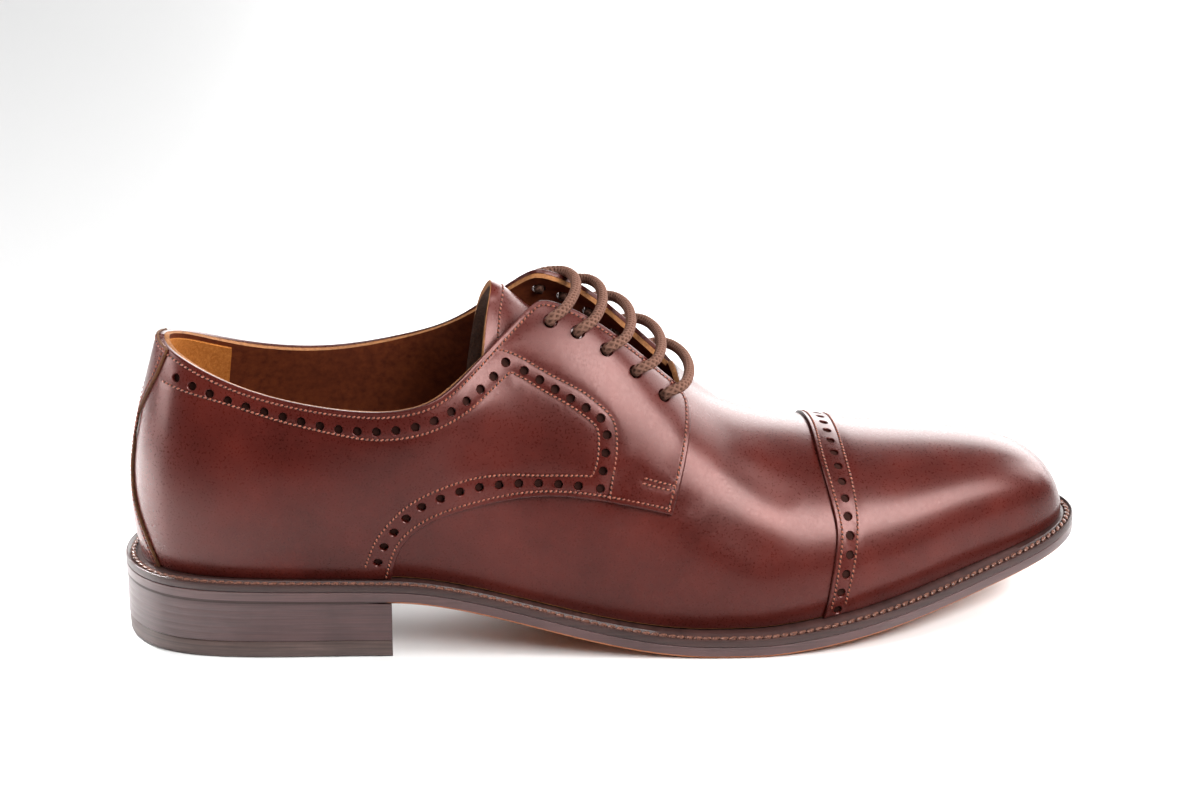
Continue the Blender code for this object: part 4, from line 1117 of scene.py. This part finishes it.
insoleBase = soleTop + 2 * shoe["gap"] + shoe["weltThickness"]
insoleTop = insoleBase + shoe["insoleThickness"]
welted, walled = shoe["weltDepth"] + shoe["gap"], shoe["wall"] + 0.0005
insole = sweepPiece("insole_board", [
    (welted, soleTop + shoe["gap"], 1.0), (welted, insoleBase, 1.0), (walled, insoleBase, 1.0),
    (walled, insoleTop - 0.0005, 1.0), (walled + 0.0006, insoleTop, 1.0)],
    [insoleLeather], caps=(0, 0))
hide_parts("insole")
print("sole and heel done")

# Welt stitches: a thick waxed thread in the groove, all the way round.
weltStitch = dict(pitch=0.0027, length=0.0031, width=0.00140, slant=0.45, inset=0.0011, reach=0.17, sink=0.0004)
loop = soleLoop(weltStitch["inset"], weltStitch["reach"])
points = np.array([(x, y, float(soleHeight(x)) + weltHigh - weltStitch["sink"]) for x, y in [*loop, loop[0]]])
run = lengthsAlong(points)
count = int(run[-1] / weltStitch["pitch"])
upward = [0.0, 0.0, 1.0]
vertices, faces = [], []
for k in range(count):
    at = (k + 0.5) * run[-1] / count
    here = pointsAt(at, run, points)
    along = unit(pointsAt((at + 0.001) % run[-1], run, points) - here)
    along = unit(along + weltStitch["slant"] * unit(np.cross(upward, along)))
    across = np.cross(upward, along)
    addThread(vertices, faces, here, along * weltStitch["length"] / 2, across * weltStitch["width"] / 2,
              np.cross(along, across) * weltStitch["width"] * 0.45)
finishPiece("welt_stitches", vertices, faces, [0] * len(faces), [weltThread], 60, 1e-9)

# Laces: five straight bars of round braided cord.
lace = dict(diameter=0.0034, arch=0.0080, forward=0.0070, farForward=(0.0180, 0.0145, 0.0100, 0.0085, 0.0072),
            sink=0.0030, squareness=0.30, rise=0.0041, inside=0.0030, strands=8, twist=0.0068,
            station=0.00030, around=24)
around = lace["around"]
turns = np.arange(around) * 2 * math.pi / around
for number in range(eyelets["count"]):
    name = "lace_%d" % (number + 1)
    spots, outs = [], []
    for side in (-1, 1):
        place, up, _ = unfold(*eyeletSpots[side][number])
        spots.append(lastPoint(side, place[None], up[None])[0])
        outs.append(lastNormal(side, place[None], up[None])[0])
    middleOut = unit(outs[0] + outs[1])
    tops, handles = [], []
    for spot, out, forward in zip(spots, outs, (lace["forward"], lace["farForward"][number])):
        rising = lace["squareness"] * out + (1 - lace["squareness"]) * middleOut
        tops.append(spot + out * lace["rise"])
        handles.append(tops[-1] + rising * lace["arch"] + [forward, 0.0, -lace["sink"]])
    knots = [spots[0] + outs[0] * height for height in (-lace["inside"], 0.0010)]
    for t in np.linspace(0, 1, 9):
        s = 1 - t
        knots.append(s ** 3 * tops[0] + 3 * s * s * t * handles[0] + 3 * s * t * t * handles[1] + t ** 3 * tops[1])
    knots += [spots[1] + outs[1] * height for height in (0.0010, -lace["inside"])]
    fine = np.linspace(0, len(knots) - 1, 900)
    curve = np.stack([onSpline(naturalSpline(column), fine) for column in np.transpose(knots)], axis=-1)
    run = lengthsAlong(curve)
    stations = np.linspace(0, run[-1], int(run[-1] / lace["station"]))
    path = pointsAt(stations, run, curve)
    tangents = unit(np.gradient(path, axis=0))
    sideways = np.cross(tangents[0], [1.0, 0.2, 0.1])
    vertices, braidShade = [], []
    for point, tangent, station in zip(path, tangents, stations):
        sideways = unit(sideways - tangent * sideways.dot(tangent))
        other = np.cross(tangent, sideways)
        phase = 2 * math.pi * station / lace["twist"] * lace["strands"] / 2
        strands = turns * lace["strands"] / 2
        knit = np.maximum(np.cos(strands + phase), np.cos(strands - phase))
        fromEnd = min(station, run[-1] - station)
        radius = lace["diameter"] / 2 * (1.0 - 0.10 * math.exp(-(fromEnd / 0.006) ** 2)) * (0.84 + 0.17 * knit)
        vertices += list(point + (np.cos(turns) * radius)[:, None] * sideways
                         + (np.sin(turns) * radius)[:, None] * other)
        # painted shade: the colour darkens towards each end, where the cord runs into the eyelet
        eyeletShadeFade = min(1.0, max(0.0, (fromEnd - 0.003) / 0.003))
        braidShade += list((0.5 + 0.5 * knit) * (0.35 + 0.65 * eyeletShadeFade))
    last = (len(path) - 1) * around
    faces = [(i + j, i + (j + 1) % around, i + around + (j + 1) % around, i + around + j)
             for i in range(0, last, around) for j in range(around)]
    faces.append(tuple(range(around))[::-1])
    faces.append(tuple(range(last, last + around)))
    mesh = bpy.data.meshes.new(name)
    mesh.from_pydata([tuple(v) for v in vertices], [], faces)
    mesh.attributes.new("braidShade", "FLOAT", "POINT").data.foreach_set("value", np.array(braidShade, dtype=np.float32))
    mesh.materials.append(laceMaterial)
    mesh.shade_smooth()
    piece = bpy.data.objects.new(name, mesh)
    bpy.context.scene.collection.objects.link(piece)
    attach(piece, root)
    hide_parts("lace_bar_%d" % (number + 1))
print("laces done")

# Floor, light and camera.
bpy.ops.object.select_all(action="DESELECT")
bpy.ops.mesh.primitive_plane_add(size=9.0, location=(0.0, 0.0, 0.0))
floor = bpy.context.object
floor.name = "studio_floor"
floorMaterial, tree, shader, coords = newMaterial("pale_floor", 0.30)
# painted shade: the floor turns from 0.74 near the shoe to 0.52 at 1.3 m towards the camera, for the dimmer light out
# there
depth = tree.nodes.new("ShaderNodeSeparateXYZ")
tree.links.new(coords.outputs["Object"], depth.inputs["Vector"])
tree.links.new(ramp(tree, between(tree, depth.outputs["Y"], 0.0, 1.0, -1.30, -0.14),
                    [(0.0, (0.52, 0.52, 0.52)), (1.0, (0.74, 0.74, 0.74))]), shader.inputs["Base Color"])
floor.data.materials.append(floorMaterial)

world = bpy.data.worlds.new("studio")
bpy.context.scene.world = world
world.use_nodes = True
background = world.node_tree.nodes["Background"]
background.inputs["Color"].default_value = (1.0, 1.0, 1.0, 1.0)
background.inputs["Strength"].default_value = 0.06

softBoxes = dict(
    behind=dict(place=(0.80, 1.35, 0.50), size=(1.9, 0.85), strength=6.5),
    key=dict(place=(0.61, -0.66, 0.80), size=(1.00, 0.46), strength=17.0),
    left=dict(place=(-1.08, 0.12, 0.34), size=(0.50, 0.50), strength=9.0),
    above=dict(place=(-0.05, -0.22, 1.40), size=(0.90, 0.50), strength=6.0),
    toe=dict(place=(1.05, 0.36, 0.62), size=(0.55, 0.50), strength=5.0))


def placeLamp(name, light, place, target):
    lamp = bpy.data.objects.new(name, light)
    lamp.location = place
    lamp.rotation_euler = (Vector(target) - lamp.location).to_track_quat("-Z", "Y").to_euler()
    bpy.context.scene.collection.objects.link(lamp)


for name, box in softBoxes.items():
    light = bpy.data.lights.new(name, "AREA")
    light.shape = "RECTANGLE"
    light.size, light.size_y = box["size"]
    light.energy = box["strength"] * math.pi * light.size * light.size_y  # even glow, whatever the size
    placeLamp(name, light, box["place"], (0.0, 0.0, 0.05))

# a pool of light on the floor beside the heel, which its polish mirrors
pool = bpy.data.lights.new("floor_pool", "SPOT")
pool.energy = 600.0
pool.spot_size = math.radians(17.0)
pool.spot_blend = 0.8
pool.shadow_soft_size = 0.15
placeLamp("floor_pool", pool, (-0.62, 0.62, 0.85), (-0.335, 0.08, 0.0))

view = dict(azimuth=-7.0, elevation=20.5, distance=1.1, target=(-0.0026, -0.003, 0.0685), lens=105.0)
turn, rise = math.radians(view["azimuth"]), math.radians(view["elevation"])
back = Vector((math.sin(turn) * math.cos(rise), -math.cos(turn) * math.cos(rise), math.sin(rise)))
cameraData = bpy.data.cameras.new("camera")
cameraData.lens = view["lens"]
cameraData.sensor_width = 36.0
cameraData.clip_end = 50.0
camera = bpy.data.objects.new("camera", cameraData)
camera.location = Vector(view["target"]) + back * view["distance"]
camera.rotation_euler = (-back).to_track_quat("-Z", "Y").to_euler()
bpy.context.scene.collection.objects.link(camera)
bpy.context.scene.camera = camera
bpy.context.scene.view_settings.view_transform = "Standard"
